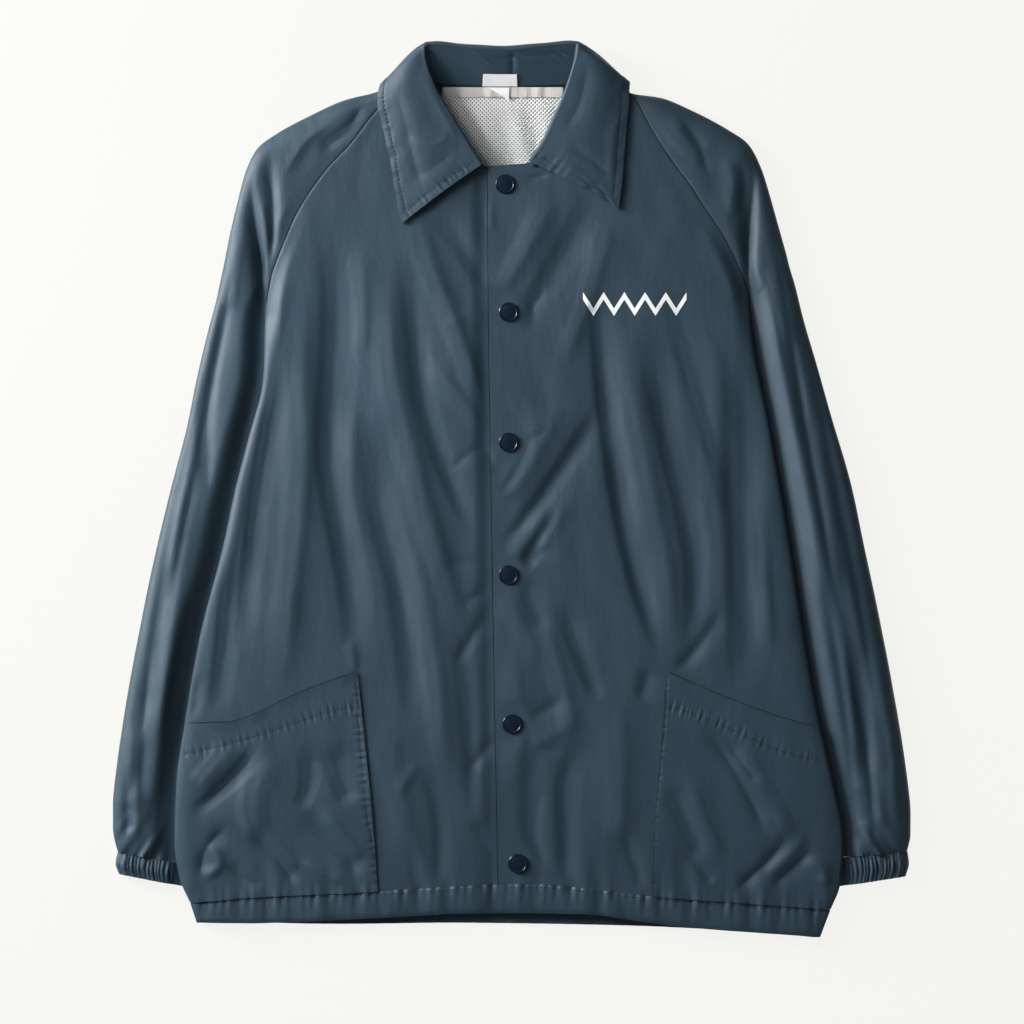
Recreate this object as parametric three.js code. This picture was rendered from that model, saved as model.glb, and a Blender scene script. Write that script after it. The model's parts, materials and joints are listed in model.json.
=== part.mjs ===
// A coach windbreaker laid flat on a table, front up, its sleeves drawn down beside the
// body and their inner halves tucked under it. Millimetres. +X is the wearer's left, +Y is towards
// the collar and +Z is up from the table. The origin is on the table under the middle of the box.

import * as THREE from 'three';

// Driving sizes
const CLOTH = 1.2;            // thickness of a single wall of cloth
const COLLAR_CLOTH = 2.0;     // two layers and the interlining
const SEAM_GAP = 0.8;         // plan gap between pieces that are sewn edge to edge
const LAY_GAP = 0.4;          // gap between a piece and what it lies on
const FRONT_Z = 12.4;         // middle of the fronts over the hollow body
const TUCK_Z = 5.5;           // middle of the back where it lies over a tucked sleeve
const SIDE_ROUND = 22;        // width of the rounding along a side fold
const PLACKET_STEP = 2.2;     // how far the under front lies below the upper one
const SNAP_DIAMETER = 16.9;

// Colours read off the cloth
const NAVY = 0x3a4f60;
const SNAP_NAVY = 0x1b2b3a;
const MESH_GREY = 0xd2d2ce;
const TAPE_GREY = 0xc9c1bc;
const LABEL_WHITE = 0xf0efec;

const clamp = (t) => Math.min(1, Math.max(0, t));
const mix = (a, b, t) => a + (b - a) * t;
const ease = (t) => clamp(t) * clamp(t) * (3 - 2 * clamp(t));

// A smooth curve through the given values that never overshoots them.
function curve(places, values) {
  const count = places.length;
  const slopes = [];
  for (let i = 0; i < count - 1; i += 1) {
    slopes.push((values[i + 1] - values[i]) / (places[i + 1] - places[i]));
  }
  const tangents = [slopes[0]];
  for (let i = 1; i < count - 1; i += 1) {
    const turns = slopes[i - 1] * slopes[i] <= 0;
    tangents.push(turns ? 0 : (2 * slopes[i - 1] * slopes[i]) / (slopes[i - 1] + slopes[i]));
  }
  tangents.push(slopes[count - 2]);
  return (at) => {
    const place = Math.min(places[count - 1], Math.max(places[0], at));
    let i = 0;
    while (i < count - 2 && place > places[i + 1]) {
      i += 1;
    }
    const step = places[i + 1] - places[i];
    const t = (place - places[i]) / step;
    const rise = values[i + 1] - values[i];
    const bend = step * (tangents[i] + tangents[i + 1]) - 2 * rise;
    return values[i] + step * tangents[i] * t + (rise - step * tangents[i] - bend) * t * t + bend * t ** 3;
  };
}

// Reads a table's column as a curve over another column, or over the row's number.
function column(table, name, over) {
  const rows = over ? [...table].sort((a, b) => a[over] - b[over]) : table;
  return curve(rows.map((row, i) => (over ? row[over] : i)), rows.map((row) => row[name]));
}

function pairColumn(table, name) {
  const x = curve(table.map((row, i) => i), table.map((row) => row[name][0]));
  const y = curve(table.map((row, i) => i), table.map((row) => row[name][1]));
  return (at) => [x(at), y(at)];
}

// Side lines of the body in plan, down the raglan seam to the armpit and on down the side fold.
// front and back are the heights of the two layers there, and fold is 1 where they turn into each
// other. The heights stay low at the armpit, where the sleeve dives under the body.
const sideRight = [
  { y: 352, x: -72.5, front: 11.8, back: 3.4, fold: 0 },
  { y: 343, x: -93, front: 12.2, back: 3.4, fold: 0 },
  { y: 328, x: -115, front: 12.4, back: 2.6, fold: 0 },
  { y: 298, x: -139, front: 12.4, back: 0.6, fold: 0 },
  { y: 272, x: -163, front: 12.4, back: 0.6, fold: 0 },
  { y: 235, x: -187, front: 12.0, back: 0.8, fold: 0 },
  { y: 212, x: -197, front: 11.2, back: 1.3, fold: 0 },
  { y: 182, x: -208, front: 8.4, back: 2.3, fold: 0 },
  { y: 150, x: -212.5, front: 5.5, back: 3.4, fold: 0 },
  { y: 144, x: -212.5, front: 6.6, back: 5.0, fold: 0.3 },
  { y: 138, x: -212.6, front: 7.4, back: 5.8, fold: 0.6 },
  { y: 120, x: -212.8, front: 8.4, back: 6.8, fold: 1 },
  { y: 94, x: -214, front: 8.9, back: 7.4, fold: 1 },
  { y: 42, x: -227, front: 8.9, back: 7.4, fold: 1 },
  { y: -1, x: -238, front: 8.9, back: 7.4, fold: 1 },
  { y: -52, x: -249, front: 8.9, back: 7.4, fold: 1 },
  { y: -130, x: -269, front: 8.9, back: 7.4, fold: 1 },
  { y: -202, x: -281.5, front: 8.9, back: 7.4, fold: 1 },
  { y: -253, x: -288.5, front: 8.9, back: 7.4, fold: 1 },
  { y: -305, x: -290, front: 8.5, back: 7.0, fold: 1 },
  { y: -337, x: -285, front: 7.8, back: 6.3, fold: 1 },
  { y: -356, x: -277, front: 7.2, back: 5.7, fold: 1 },
  { y: -374, x: -271, front: 6.8, back: 5.3, fold: 1 },
];
const sideLeft = [
  { y: 352, x: 57.5, front: 11.8, back: 3.4, fold: 0 },
  { y: 345, x: 84, front: 12.2, back: 3.4, fold: 0 },
  { y: 336, x: 104, front: 12.4, back: 2.6, fold: 0 },
  { y: 310, x: 119, front: 12.4, back: 1.0, fold: 0 },
  { y: 286, x: 134, front: 12.4, back: 0.6, fold: 0 },
  { y: 260, x: 153, front: 12.4, back: 0.6, fold: 0 },
  { y: 237, x: 168, front: 12.0, back: 0.8, fold: 0 },
  { y: 221, x: 179, front: 11.2, back: 1.3, fold: 0 },
  { y: 192, x: 194, front: 8.4, back: 2.3, fold: 0 },
  { y: 163, x: 203.5, front: 5.5, back: 3.4, fold: 0 },
  { y: 157, x: 203.7, front: 6.6, back: 5.0, fold: 0.3 },
  { y: 151, x: 204, front: 7.4, back: 5.8, fold: 0.6 },
  { y: 133, x: 206, front: 8.4, back: 6.8, fold: 1 },
  { y: 107, x: 210, front: 8.9, back: 7.4, fold: 1 },
  { y: 73, x: 217, front: 8.9, back: 7.4, fold: 1 },
  { y: 25, x: 226, front: 8.9, back: 7.4, fold: 1 },
  { y: -27, x: 235, front: 8.9, back: 7.4, fold: 1 },
  { y: -130, x: 251, front: 8.9, back: 7.4, fold: 1 },
  { y: -191, x: 262, front: 8.9, back: 7.4, fold: 1 },
  { y: -249, x: 275.5, front: 8.9, back: 7.4, fold: 1 },
  { y: -305, x: 285, front: 8.5, back: 7.0, fold: 1 },
  { y: -341, x: 282, front: 7.8, back: 6.3, fold: 1 },
  { y: -362, x: 274, front: 7.2, back: 5.7, fold: 1 },
  { y: -386, x: 265, front: 6.8, back: 5.3, fold: 1 },
];

function sideCurves(table) {
  return {
    x: column(table, 'x', 'y'),
    front: column(table, 'front', 'y'),
    back: column(table, 'back', 'y'),
    fold: column(table, 'fold', 'y'),
  };
}
const right = sideCurves(sideRight);
const left = sideCurves(sideLeft);

// How much of a layer's height it has gained at a distance in from its side line.
function edgeRise(distance, fold) {
  const t = clamp(distance / SIDE_ROUND);
  return mix(ease(t), Math.sqrt(1 - (1 - t) ** 2), fold);
}

// The main soft folds of the fronts: their course in plan, half width and height.
const frontFolds = [
  { along: [[-157, 250], [-160, 74], [-144, 8], [-131, -150]], width: 17, height: -3.0 },
  { along: [[-176, 170], [-182, 25], [-196, -61], [-190, -164]], width: 13, height: 1.8 },
  { along: [[-104, 222], [-108, 123], [-88, 20]], width: 18, height: 2.0 },
  { along: [[-84, 222], [-58, 160], [-26, 99]], width: 10, height: 1.6 },
  { along: [[-122, 16], [-101, -113], [-95, -200]], width: 15, height: -2.4 },
  { along: [[-96, -9], [-72, -100], [-56, -174]], width: 14, height: 1.8 },
  { along: [[-218, -80], [-242, -196]], width: 12, height: -2.0 },
  { along: [[-116, -205], [-80, -300]], width: 12, height: 1.4 },
  { along: [[66, 250], [32, 160], [-6, 74]], width: 12, height: -2.0 },
  { along: [[50, 250], [8, 160]], width: 9, height: 1.4 },
  { along: [[112, 250], [187, 140], [192, 74]], width: 12, height: 1.8 },
  { along: [[81, 150], [89, 25], [101, -61], [131, -150]], width: 13, height: -2.6 },
  { along: [[97, 150], [118, 25], [124, -61], [141, -151]], width: 11, height: 1.8 },
  { along: [[124, 140], [143, 8], [157, -66]], width: 11, height: -2.2 },
  { along: [[150, 140], [180, 74], [189, 0]], width: 13, height: -1.8 },
  { along: [[198, -60], [196, -175]], width: 12, height: -2.2 },
  { along: [[56, -90], [76, -185]], width: 11, height: -2.0 },
  { along: [[68, -225], [51, -267], [52, -335]], width: 9, height: -2.0 },
  { along: [[98, -164], [108, -260]], width: 12, height: 1.5 },
];

// Nearest place on a course: its distance, and how far along the course it is, from 0 to 1.
function nearest(along, x, y) {
  let best = { distance: Infinity, place: 0 };
  let length = 0;
  const total = along.slice(1).reduce((sum, p, i) => sum + Math.hypot(p[0] - along[i][0], p[1] - along[i][1]), 0);
  for (let i = 0; i < along.length - 1; i += 1) {
    const [ax, ay] = along[i];
    const dx = along[i + 1][0] - ax;
    const dy = along[i + 1][1] - ay;
    const span = Math.hypot(dx, dy);
    const t = clamp(((x - ax) * dx + (y - ay) * dy) / span ** 2);
    const distance = Math.hypot(x - ax - dx * t, y - ay - dy * t);
    if (distance < best.distance) {
      best = { distance, place: (length + span * t) / total };
    }
    length += span;
  }
  return best;
}

function foldHeight(folds, x, y) {
  let sum = 0;
  for (const fold of folds) {
    const { distance, place } = nearest(fold.along, x, y);
    const fade = ease(place / 0.2) * ease((1 - place) / 0.2);
    sum += fold.height * fade * Math.exp(-((distance / fold.width) ** 2));
  }
  return sum;
}

// Snaps down the placket, from the neck to the hem.
const snaps = [
  { x: -6, y: 262 },
  { x: -3, y: 152 },
  { x: -3, y: 40 },
  { x: -3, y: -74 },
  { x: 0, y: -202 },
  { x: 5, y: -322 },
];

// Height of the fronts' middle surface over the table at a place in plan. It is flat under each snap
// and sinks a little towards the hem.
function frontHeight(x, y) {
  const side = x < 0 ? right : left;
  const inward = (x < 0 ? 1 : -1) * (x - side.x(y));
  const sink = 2.2 * ease((-250 - y) / 120);
  const base = FRONT_Z - sink;
  const rise = edgeRise(inward, side.fold(y));
  let flat = 1;
  for (const snap of snaps) {
    flat *= ease((Math.hypot(x - snap.x, y - snap.y) - 14) / 12);
  }
  return mix(side.front(y), base + foldHeight(frontFolds, x, y) * flat, rise);
}

// Makes a closed wall around a grid of middle points, given as rows of vectors.
function wall(rows, thickness) {
  const n = rows.length;
  const m = rows[0].length;
  const positions = [];
  const along = new THREE.Vector3();
  const across = new THREE.Vector3();
  for (const half of [thickness / 2, -thickness / 2]) {
    for (let j = 0; j < n; j += 1) {
      for (let i = 0; i < m; i += 1) {
        along.subVectors(rows[Math.min(j + 1, n - 1)][i], rows[Math.max(j - 1, 0)][i]);
        across.subVectors(rows[j][Math.min(i + 1, m - 1)], rows[j][Math.max(i - 1, 0)]);
        const normal = across.clone().cross(along).normalize();
        const point = rows[j][i].clone().addScaledVector(normal, half);
        positions.push(point.x, point.y, point.z);
      }
    }
  }
  const top = (j, i) => j * m + i;
  const bottom = (j, i) => n * m + j * m + i;
  const index = [];
  const quad = (a, b, c, d) => index.push(a, b, c, a, c, d);
  for (let j = 0; j < n - 1; j += 1) {
    for (let i = 0; i < m - 1; i += 1) {
      quad(top(j, i), top(j, i + 1), top(j + 1, i + 1), top(j + 1, i));
      quad(bottom(j, i), bottom(j + 1, i), bottom(j + 1, i + 1), bottom(j, i + 1));
    }
    quad(top(j, 0), top(j + 1, 0), bottom(j + 1, 0), bottom(j, 0));
    quad(top(j + 1, m - 1), top(j, m - 1), bottom(j, m - 1), bottom(j + 1, m - 1));
  }
  for (let i = 0; i < m - 1; i += 1) {
    quad(top(0, i + 1), top(0, i), bottom(0, i), bottom(0, i + 1));
    quad(top(n - 1, i), top(n - 1, i + 1), bottom(n - 1, i + 1), bottom(n - 1, i));
  }
  const geometry = new THREE.BufferGeometry();
  geometry.setAttribute('position', new THREE.Float32BufferAttribute(positions, 3));
  geometry.setIndex(index);
  return geometry;
}

// Steps from 0 to 1 that are closer together at the start.
function stepsFromEdge(count, edgeCount, edgeShare) {
  const steps = [];
  for (let i = 0; i < edgeCount; i += 1) {
    steps.push(edgeShare * (1 - Math.cos((i / edgeCount) * (Math.PI / 2))));
  }
  for (let i = 0; i <= count - edgeCount; i += 1) {
    steps.push(mix(edgeShare, 1, i / (count - edgeCount)));
  }
  return steps;
}

const jacket = new THREE.Group();

function add(name, geometry, color, roughness = 0.45) {
  const material = new THREE.MeshStandardMaterial({ color, roughness, metalness: 0 });
  const mesh = new THREE.Mesh(geometry, material);
  mesh.name = name;
  jacket.add(mesh);
  return mesh;
}

// Heights on the raglan seams where the front, sleeve and back have a row of points in common.
const raglanRight = [352, 343, 328, 298, 272, 246.5, 223.5, 202, 184, 167, 150];
const raglanLeft = [352, 345, 336, 310, 286, 260, 237, 216, 198, 181, 163];

// Back panel. Each row runs from side line to side line; tuck is how far in from each side line the
// sleeve lies under it.
const backRows = [
  { y: 345, tuckRight: 0, tuckLeft: 0, low: 3.4 },
  { y: 334, tuckRight: 0, tuckLeft: 0, low: 3.4 },
  { y: 315, tuckRight: 0, tuckLeft: 0, low: 2.0 },
  { y: 290, tuckRight: 0, tuckLeft: 0, low: 0.6 },
  { y: 185, tuckRight: 0, tuckLeft: 0, low: 0.6 },
  { y: 157, tuckRight: 4, tuckLeft: 8, low: 0.6 },
  { y: 140, tuckRight: 16, tuckLeft: 18, low: 0.6 },
  { y: 110, tuckRight: 34, tuckLeft: 38, low: 0.6 },
  { y: 55, tuckRight: 64, tuckLeft: 64, low: 0.6 },
  { y: -10, tuckRight: 84, tuckLeft: 78, low: 0.6 },
  { y: -90, tuckRight: 92, tuckLeft: 80, low: 0.6 },
  { y: -175, tuckRight: 84, tuckLeft: 71, low: 0.6 },
  { y: -260, tuckRight: 66, tuckLeft: 57, low: 0.6 },
  { y: -310, tuckRight: 40, tuckLeft: 33, low: 0.6 },
  { y: -335, tuckRight: 26, tuckLeft: 25, low: 0.6 },
  { y: -354, tuckRight: 16, tuckLeft: 17, low: 0.6 },
];
const backBelowArmpit = [
  [138, 151], [120, 135], [96, 108], [64, 72], [28, 32], [-14, -12], [-60, -60], [-105, -105], [-150, -150],
  [-195, -195], [-240, -240], [-278, -278], [-310, -310], [-335, -338], [-355, -361],
];
const NECK_DROP = 4;          // how far the back neck seam lies below the side neck points
const tuckRight = column(backRows, 'tuckRight', 'y');
const tuckLeft = column(backRows, 'tuckLeft', 'y');
const backLow = column(backRows, 'low', 'y');

function backHeight(x, y) {
  const side = x < 0 ? right : left;
  const inward = (x < 0 ? 1 : -1) * (x - side.x(y));
  const tuck = (x < 0 ? tuckRight : tuckLeft)(y);
  const low = backLow(y);
  const lifted = tuck > 0.5 ? Math.max(low, mix(low, TUCK_Z, ease(tuck / 8))) : low;
  const floor = mix(lifted, low, ease((inward - tuck - 9) / 26));
  return mix(side.back(y), floor, edgeRise(inward, side.fold(y)));
}

function backPanel() {
  const half = stepsFromEdge(10, 4, 0.13);
  const steps = [...half.map((t) => t / 2), ...half.slice(0, -1).reverse().map((t) => 1 - t / 2)];
  const ends = [...raglanRight.map((y, i) => [y, raglanLeft[i]]), ...backBelowArmpit];
  const rows = ends.map(([upRight, upLeft], j) => steps.map((t) => {
    const drop = NECK_DROP * ease(1 - j / 4) * ease(Math.min(t, 1 - t) / 0.14);
    const x = mix(right.x(upRight) + SEAM_GAP / 2, left.x(upLeft) - SEAM_GAP / 2, t);
    const y = mix(upRight, upLeft, t) - drop;
    const edge = t === 0 || t === 1;
    const z = edge ? (t === 0 ? right : left).back(t === 0 ? upRight : upLeft) : backHeight(x, y);
    return new THREE.Vector3(x, y, z);
  }));
  return wall(rows.map((row) => row.reverse()), CLOTH);
}

// Fronts. Each row runs from a height on the side line to the neck edge or the front edge.
const frontRightRows = [
  { side: 352, inner: [-70.5, 350] },
  { side: 343, inner: [-67, 338] },
  { side: 328, inner: [-63, 325] },
  { side: 298, inner: [-54, 306] },
  { side: 272, inner: [-42, 290] },
  { side: 246.5, inner: [-20, 277] },
  { side: 223.5, inner: [14, 273] },
  { side: 202, inner: [14.5, 238] },
  { side: 184, inner: [15, 206] },
  { side: 167, inner: [15.2, 182] },
  { side: 150, inner: [15.5, 158] },
  { side: 120, inner: [16, 118] },
  { side: 60, inner: [17, 60] },
  { side: 0, inner: [18, 0] },
  { side: -60, inner: [19, -60] },
  { side: -130, inner: [20, -130] },
  { side: -200, inner: [21, -200] },
  { side: -270, inner: [22, -266] },
  { side: -325, inner: [23, -316] },
  { side: -355.5, inner: [23, -339.5] },
];
const frontLeftRows = [
  { side: 352, inner: [55.5, 350] },
  { side: 345, inner: [53, 340] },
  { side: 336, inner: [50, 328] },
  { side: 310, inner: [43, 309] },
  { side: 286, inner: [33, 292] },
  { side: 260, inner: [12, 280] },
  { side: 237, inner: [-20.5, 277] },
  { side: 216, inner: [-20.5, 242] },
  { side: 198, inner: [-20.5, 212] },
  { side: 181, inner: [-20.3, 186] },
  { side: 163, inner: [-20, 162] },
  { side: 130, inner: [-19.5, 118] },
  { side: 64, inner: [-18.5, 60] },
  { side: 0, inner: [-17.5, 0] },
  { side: -60, inner: [-16.6, -60] },
  { side: -130, inner: [-15.4, -130] },
  { side: -200, inner: [-14.2, -200] },
  { side: -270, inner: [-12.8, -266] },
  { side: -328, inner: [-12, -316] },
  { side: -361.5, inner: [-11.5, -339.5] },
];
const ARMPIT_ROW = 10;        // the row of a front or sleeve that meets the armpit

// Places of a table's rows, one a row down to the armpit and then two a row.
function rowPlaces(count) {
  const places = [];
  for (let i = 0; i < count; i += 1) {
    places.push(i);
    if (i >= ARMPIT_ROW && i < count - 1) {
      places.push(i + 0.5);
    }
  }
  return places;
}
const upperEdge = curve([-364, -200, -60, 60, 163, 277], [-11, -14.2, -16.6, -18.5, -20, -20.5]);

// The right front passes below the left one from just outside the left one's edge.
function underHeight(x, y) {
  const under = ease((x - upperEdge(y) + 20) / 16);
  return frontHeight(x, y) - PLACKET_STEP * under;
}

// Hem line of a front, where its casing is sewn on.
const hemLineRight = curve([-278, -217, -131, -71, -13, 24], [-356, -351, -347, -343, -340, -339.5]);
const hemLineLeft = curve([-12, 24, 76, 127, 196, 275], [-339.5, -340, -345, -351, -356, -362]);

function frontPanel(table, side, inwards, hemLine, height) {
  const upAt = column(table, 'side');
  const innerAt = pairColumn(table, 'inner');
  const steps = stepsFromEdge(16, 4, 0.1);
  const hemRow = table.length - 1;
  return rowPlaces(table.length).map((place) => {
    const up = upAt(place);
    const outer = [side.x(up) + inwards * SEAM_GAP / 2, up];
    const inner = innerAt(place);
    const bow = ease((place - hemRow + 3) / 3);
    return steps.map((t, i) => {
      const x = mix(outer[0], inner[0], t);
      const straight = mix(outer[1], inner[1], t);
      const hem = mix(table[hemRow].side, table[hemRow].inner[1], t);
      const y = straight + bow * (hemLine(x) - hem) * ease(t / 0.03);
      return new THREE.Vector3(x, y, i === 0 ? side.front(up) : height(x, y));
    });
  });
}
const frontRightGrid = frontPanel(frontRightRows, right, 1, hemLineRight, underHeight);
const frontLeftGrid = frontPanel(frontLeftRows, left, -1, hemLineLeft, frontHeight);

add('back', backPanel(), NAVY);
add('front_right', wall(frontRightGrid.map((row) => [...row].reverse()), CLOTH), NAVY);
add('front_left', wall(frontLeftGrid, CLOTH), NAVY);

// Sleeves. Each section runs in plan from the raglan seam, or below the armpit from the underarm
// seam that is tucked under the body, to the outer fold. puff is the height of the top layer where it
// shows, and under that of the lower layer.
const sleeveRightRows = [
  { inner: [-72.5, 352], outer: [-74, 361], puff: 12, under: 4.3 },
  { inner: [-93, 343], outer: [-94, 354], puff: 12.4, under: 3.9 },
  { inner: [-115, 328], outer: [-115.5, 342], puff: 12.4, under: 3.2 },
  { inner: [-139, 298], outer: [-144, 334.5], puff: 13, under: 0.6 },
  { inner: [-163, 272], outer: [-174, 321], puff: 13, under: 0.6 },
  { inner: [-180, 246.5], outer: [-202, 306], puff: 13, under: 0.6 },
  { inner: [-192, 223.5], outer: [-219, 293], puff: 13, under: 0.6 },
  { inner: [-201, 202], outer: [-229.5, 272], puff: 12.6, under: 0.6 },
  { inner: [-207, 184], outer: [-236, 247], puff: 12.4, under: 0.6 },
  { inner: [-210.5, 167], outer: [-242, 222], puff: 12.4, under: 0.6 },
  { inner: [-212.5, 150], outer: [-248, 192], puff: 12.4, under: 0.6 },
  { inner: [-214.2, 143.5], outer: [-251, 178], puff: 12.4, under: 0.6 },
  { inner: [-203, 134], outer: [-254, 164], puff: 12.4, under: 0.6 },
  { inner: [-188, 115], outer: [-262, 134], puff: 12.6, under: 0.6 },
  { inner: [-172, 84], outer: [-271, 96], puff: 12.8, under: 0.6 },
  { inner: [-161, 45], outer: [-280, 52], puff: 13, under: 0.6 },
  { inner: [-158, -9], outer: [-294, -2], puff: 13.2, under: 0.6 },
  { inner: [-164, -55], outer: [-306, -52], puff: 13.4, under: 0.6 },
  { inner: [-178, -110], outer: [-319, -113], puff: 13.6, under: 0.6 },
  { inner: [-200, -173], outer: [-331, -178], puff: 13.6, under: 0.6 },
  { inner: [-220, -230], outer: [-339.5, -233], puff: 13.6, under: 0.6 },
  { inner: [-238, -272], outer: [-343.5, -272], puff: 13.4, under: 0.6 },
  { inner: [-252, -297], outer: [-343.5, -292], puff: 13, under: 0.6 },
  { inner: [-263, -317], outer: [-340.5, -308], puff: 11.4, under: 0.6 },
  { inner: [-267, -325], outer: [-339, -313], puff: 10, under: 0.6 },
];
const sleeveLeftRows = [
  { inner: [57.5, 352], outer: [59, 361], puff: 12, under: 4.3 },
  { inner: [84, 345], outer: [85, 353.5], puff: 12.4, under: 3.9 },
  { inner: [104, 336], outer: [102.5, 340.5], puff: 12.4, under: 3.2 },
  { inner: [119, 310], outer: [128, 336.5], puff: 13, under: 0.8 },
  { inner: [134, 286], outer: [156, 325], puff: 13, under: 0.6 },
  { inner: [153, 260], outer: [186, 309], puff: 13, under: 0.6 },
  { inner: [168, 237], outer: [203, 297], puff: 13, under: 0.6 },
  { inner: [182, 216], outer: [214, 277], puff: 12.6, under: 0.6 },
  { inner: [191, 198], outer: [222, 252], puff: 12.4, under: 0.6 },
  { inner: [198, 181], outer: [229, 227], puff: 12.4, under: 0.6 },
  { inner: [203.5, 163], outer: [236, 202], puff: 12.4, under: 0.6 },
  { inner: [205.6, 156.5], outer: [239, 190], puff: 12.4, under: 0.6 },
  { inner: [194, 146], outer: [243, 177], puff: 12.4, under: 0.6 },
  { inner: [180, 126], outer: [251, 145], puff: 12.6, under: 0.6 },
  { inner: [167, 95], outer: [262, 108], puff: 12.8, under: 0.6 },
  { inner: [161, 55], outer: [275, 62], puff: 13, under: 0.6 },
  { inner: [159, -2], outer: [292, 4], puff: 13.2, under: 0.6 },
  { inner: [164, -50], outer: [303, -48], puff: 13.4, under: 0.6 },
  { inner: [178, -110], outer: [316.5, -113], puff: 13.6, under: 0.6 },
  { inner: [200, -173], outer: [329, -178], puff: 13.6, under: 0.6 },
  { inner: [222, -232], outer: [338.5, -236], puff: 13.6, under: 0.6 },
  { inner: [241, -274], outer: [343, -278], puff: 13.4, under: 0.6 },
  { inner: [254, -299], outer: [343, -297], puff: 13, under: 0.6 },
  { inner: [262, -313], outer: [341, -308], puff: 11.4, under: 0.6 },
  { inner: [265, -319], outer: [340, -312], puff: 10, under: 0.6 },
];
const TUCK_TOP_Z = 3.6;       // middle of the tucked sleeve's upper layer
const TUCK_ROUND = 5;         // rounding of the underarm fold
const TUCK_EDGE_Z = 2.1;      // height of the underarm seam
const SLEEVE_ROUND = 20;      // rounding of the outer fold
const SLEEVE_FOLD_Z = 5.6;    // height of the outer fold

// Soft folds down the sleeves.
const sleeveFolds = [
  { along: [[-228, 262], [-219, 205], [-225, 140]], width: 7, height: -3.2 },
  { along: [[-236, 222], [-243, 150]], width: 9, height: 1.2 },
  { along: [[-243, 190], [-262, 60], [-262, -20]], width: 9, height: -1.8 },
  { along: [[-276, -60], [-312, -230]], width: 12, height: 1.4 },
  { along: [[-312, -140], [-322, -270]], width: 8, height: -1.8 },
  { along: [[212, 268], [207, 215], [214, 140]], width: 7, height: -3.2 },
  { along: [[226, 200], [243, 120]], width: 9, height: 1.2 },
  { along: [[250, 60], [268, 0], [282, -100]], width: 11, height: 1.6 },
  { along: [[297, -110], [308, -260]], width: 9, height: -1.8 },
  { along: [[-120, 318], [-166, 290]], width: 8, height: -1.4 },
  { along: [[130, 322], [168, 280]], width: 10, height: 1.2 },
];

function sleeveSection(table, side, place) {
  const inner = pairColumn(table, 'inner')(place);
  const outer = pairColumn(table, 'outer')(place);
  const puff = column(table, 'puff')(place);
  const under = column(table, 'under')(place);
  const width = Math.hypot(outer[0] - inner[0], outer[1] - inner[1]);
  const tucked = ease(place - ARMPIT_ROW);
  if (place <= ARMPIT_ROW) {
    inner[0] = side.x(inner[1]);
  }
  const round = Math.min(SLEEVE_ROUND, width * 0.42);
  const topSeam = mix(side.front(inner[1]), TUCK_EDGE_Z + 0.95, tucked);
  const backSeam = mix(side.back(inner[1]), TUCK_EDGE_Z - 0.95, tucked);
  const topInner = mix(topSeam, TUCK_TOP_Z, tucked);
  const section = [];
  const start = mix(SEAM_GAP / 2, 0, tucked);
  const at = (distance, z) => {
    const t = distance / width;
    return new THREE.Vector3(mix(inner[0], outer[0], t), mix(inner[1], outer[1], t), z);
  };
  let shown = 0;
  while (tucked > 0 && shown < width - 1 && Math.abs(at(shown, 0).x) < Math.abs(side.x(at(shown, 0).y))) {
    shown += 0.5;
  }
  const topZ = (distance) => {
    const rise = ease((distance - shown - 1.5 * tucked) / 15);
    const low = mix(topSeam, topInner, Math.sqrt(clamp(distance / TUCK_ROUND)));
    const p = at(distance, 0);
    const open = mix(low, puff + foldHeight(sleeveFolds, p.x, p.y) * ease(place / 2), rise);
    const over = clamp((distance - width + round) / round);
    return mix(SLEEVE_FOLD_Z, open, Math.sqrt(Math.max(0, 1 - over * over)));
  };
  const innerPart = mix(0.25 * width, shown + 1, tucked);
  const distances = [
    ...[0, 0.06, 0.3, 0.65].map((t) => mix(start, innerPart, t)),
    ...[0, 0.07, 0.17, 0.3, 0.5, 0.7, 0.86, 0.96, 1].map((t) => mix(innerPart, width, t)),
  ];
  for (const distance of distances) {
    section.push(at(distance, topZ(distance)));
  }
  for (const mark of [0.98, 0.9, 0.68, 0.38, 0.14, 0.03, 0]) {
    const distance = mix(start, width, mark);
    const over = clamp((distance - width + round) / round);
    const low = mix(backSeam, under, Math.sqrt(clamp(distance / mix(30, TUCK_ROUND, tucked))));
    section.push(at(distance, mix(SLEEVE_FOLD_Z, low, Math.sqrt(Math.max(0, 1 - over * over)))));
  }
  return section;
}

function sleeveGrid(table, side) {
  return table.map((row, place) => sleeveSection(table, side, place));
}

add('sleeve_right', wall(sleeveGrid(sleeveRightRows, right), CLOTH), NAVY);
add('sleeve_left', wall(sleeveGrid(sleeveLeftRows, left).map((row) => row.reverse()), CLOTH), NAVY);

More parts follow.
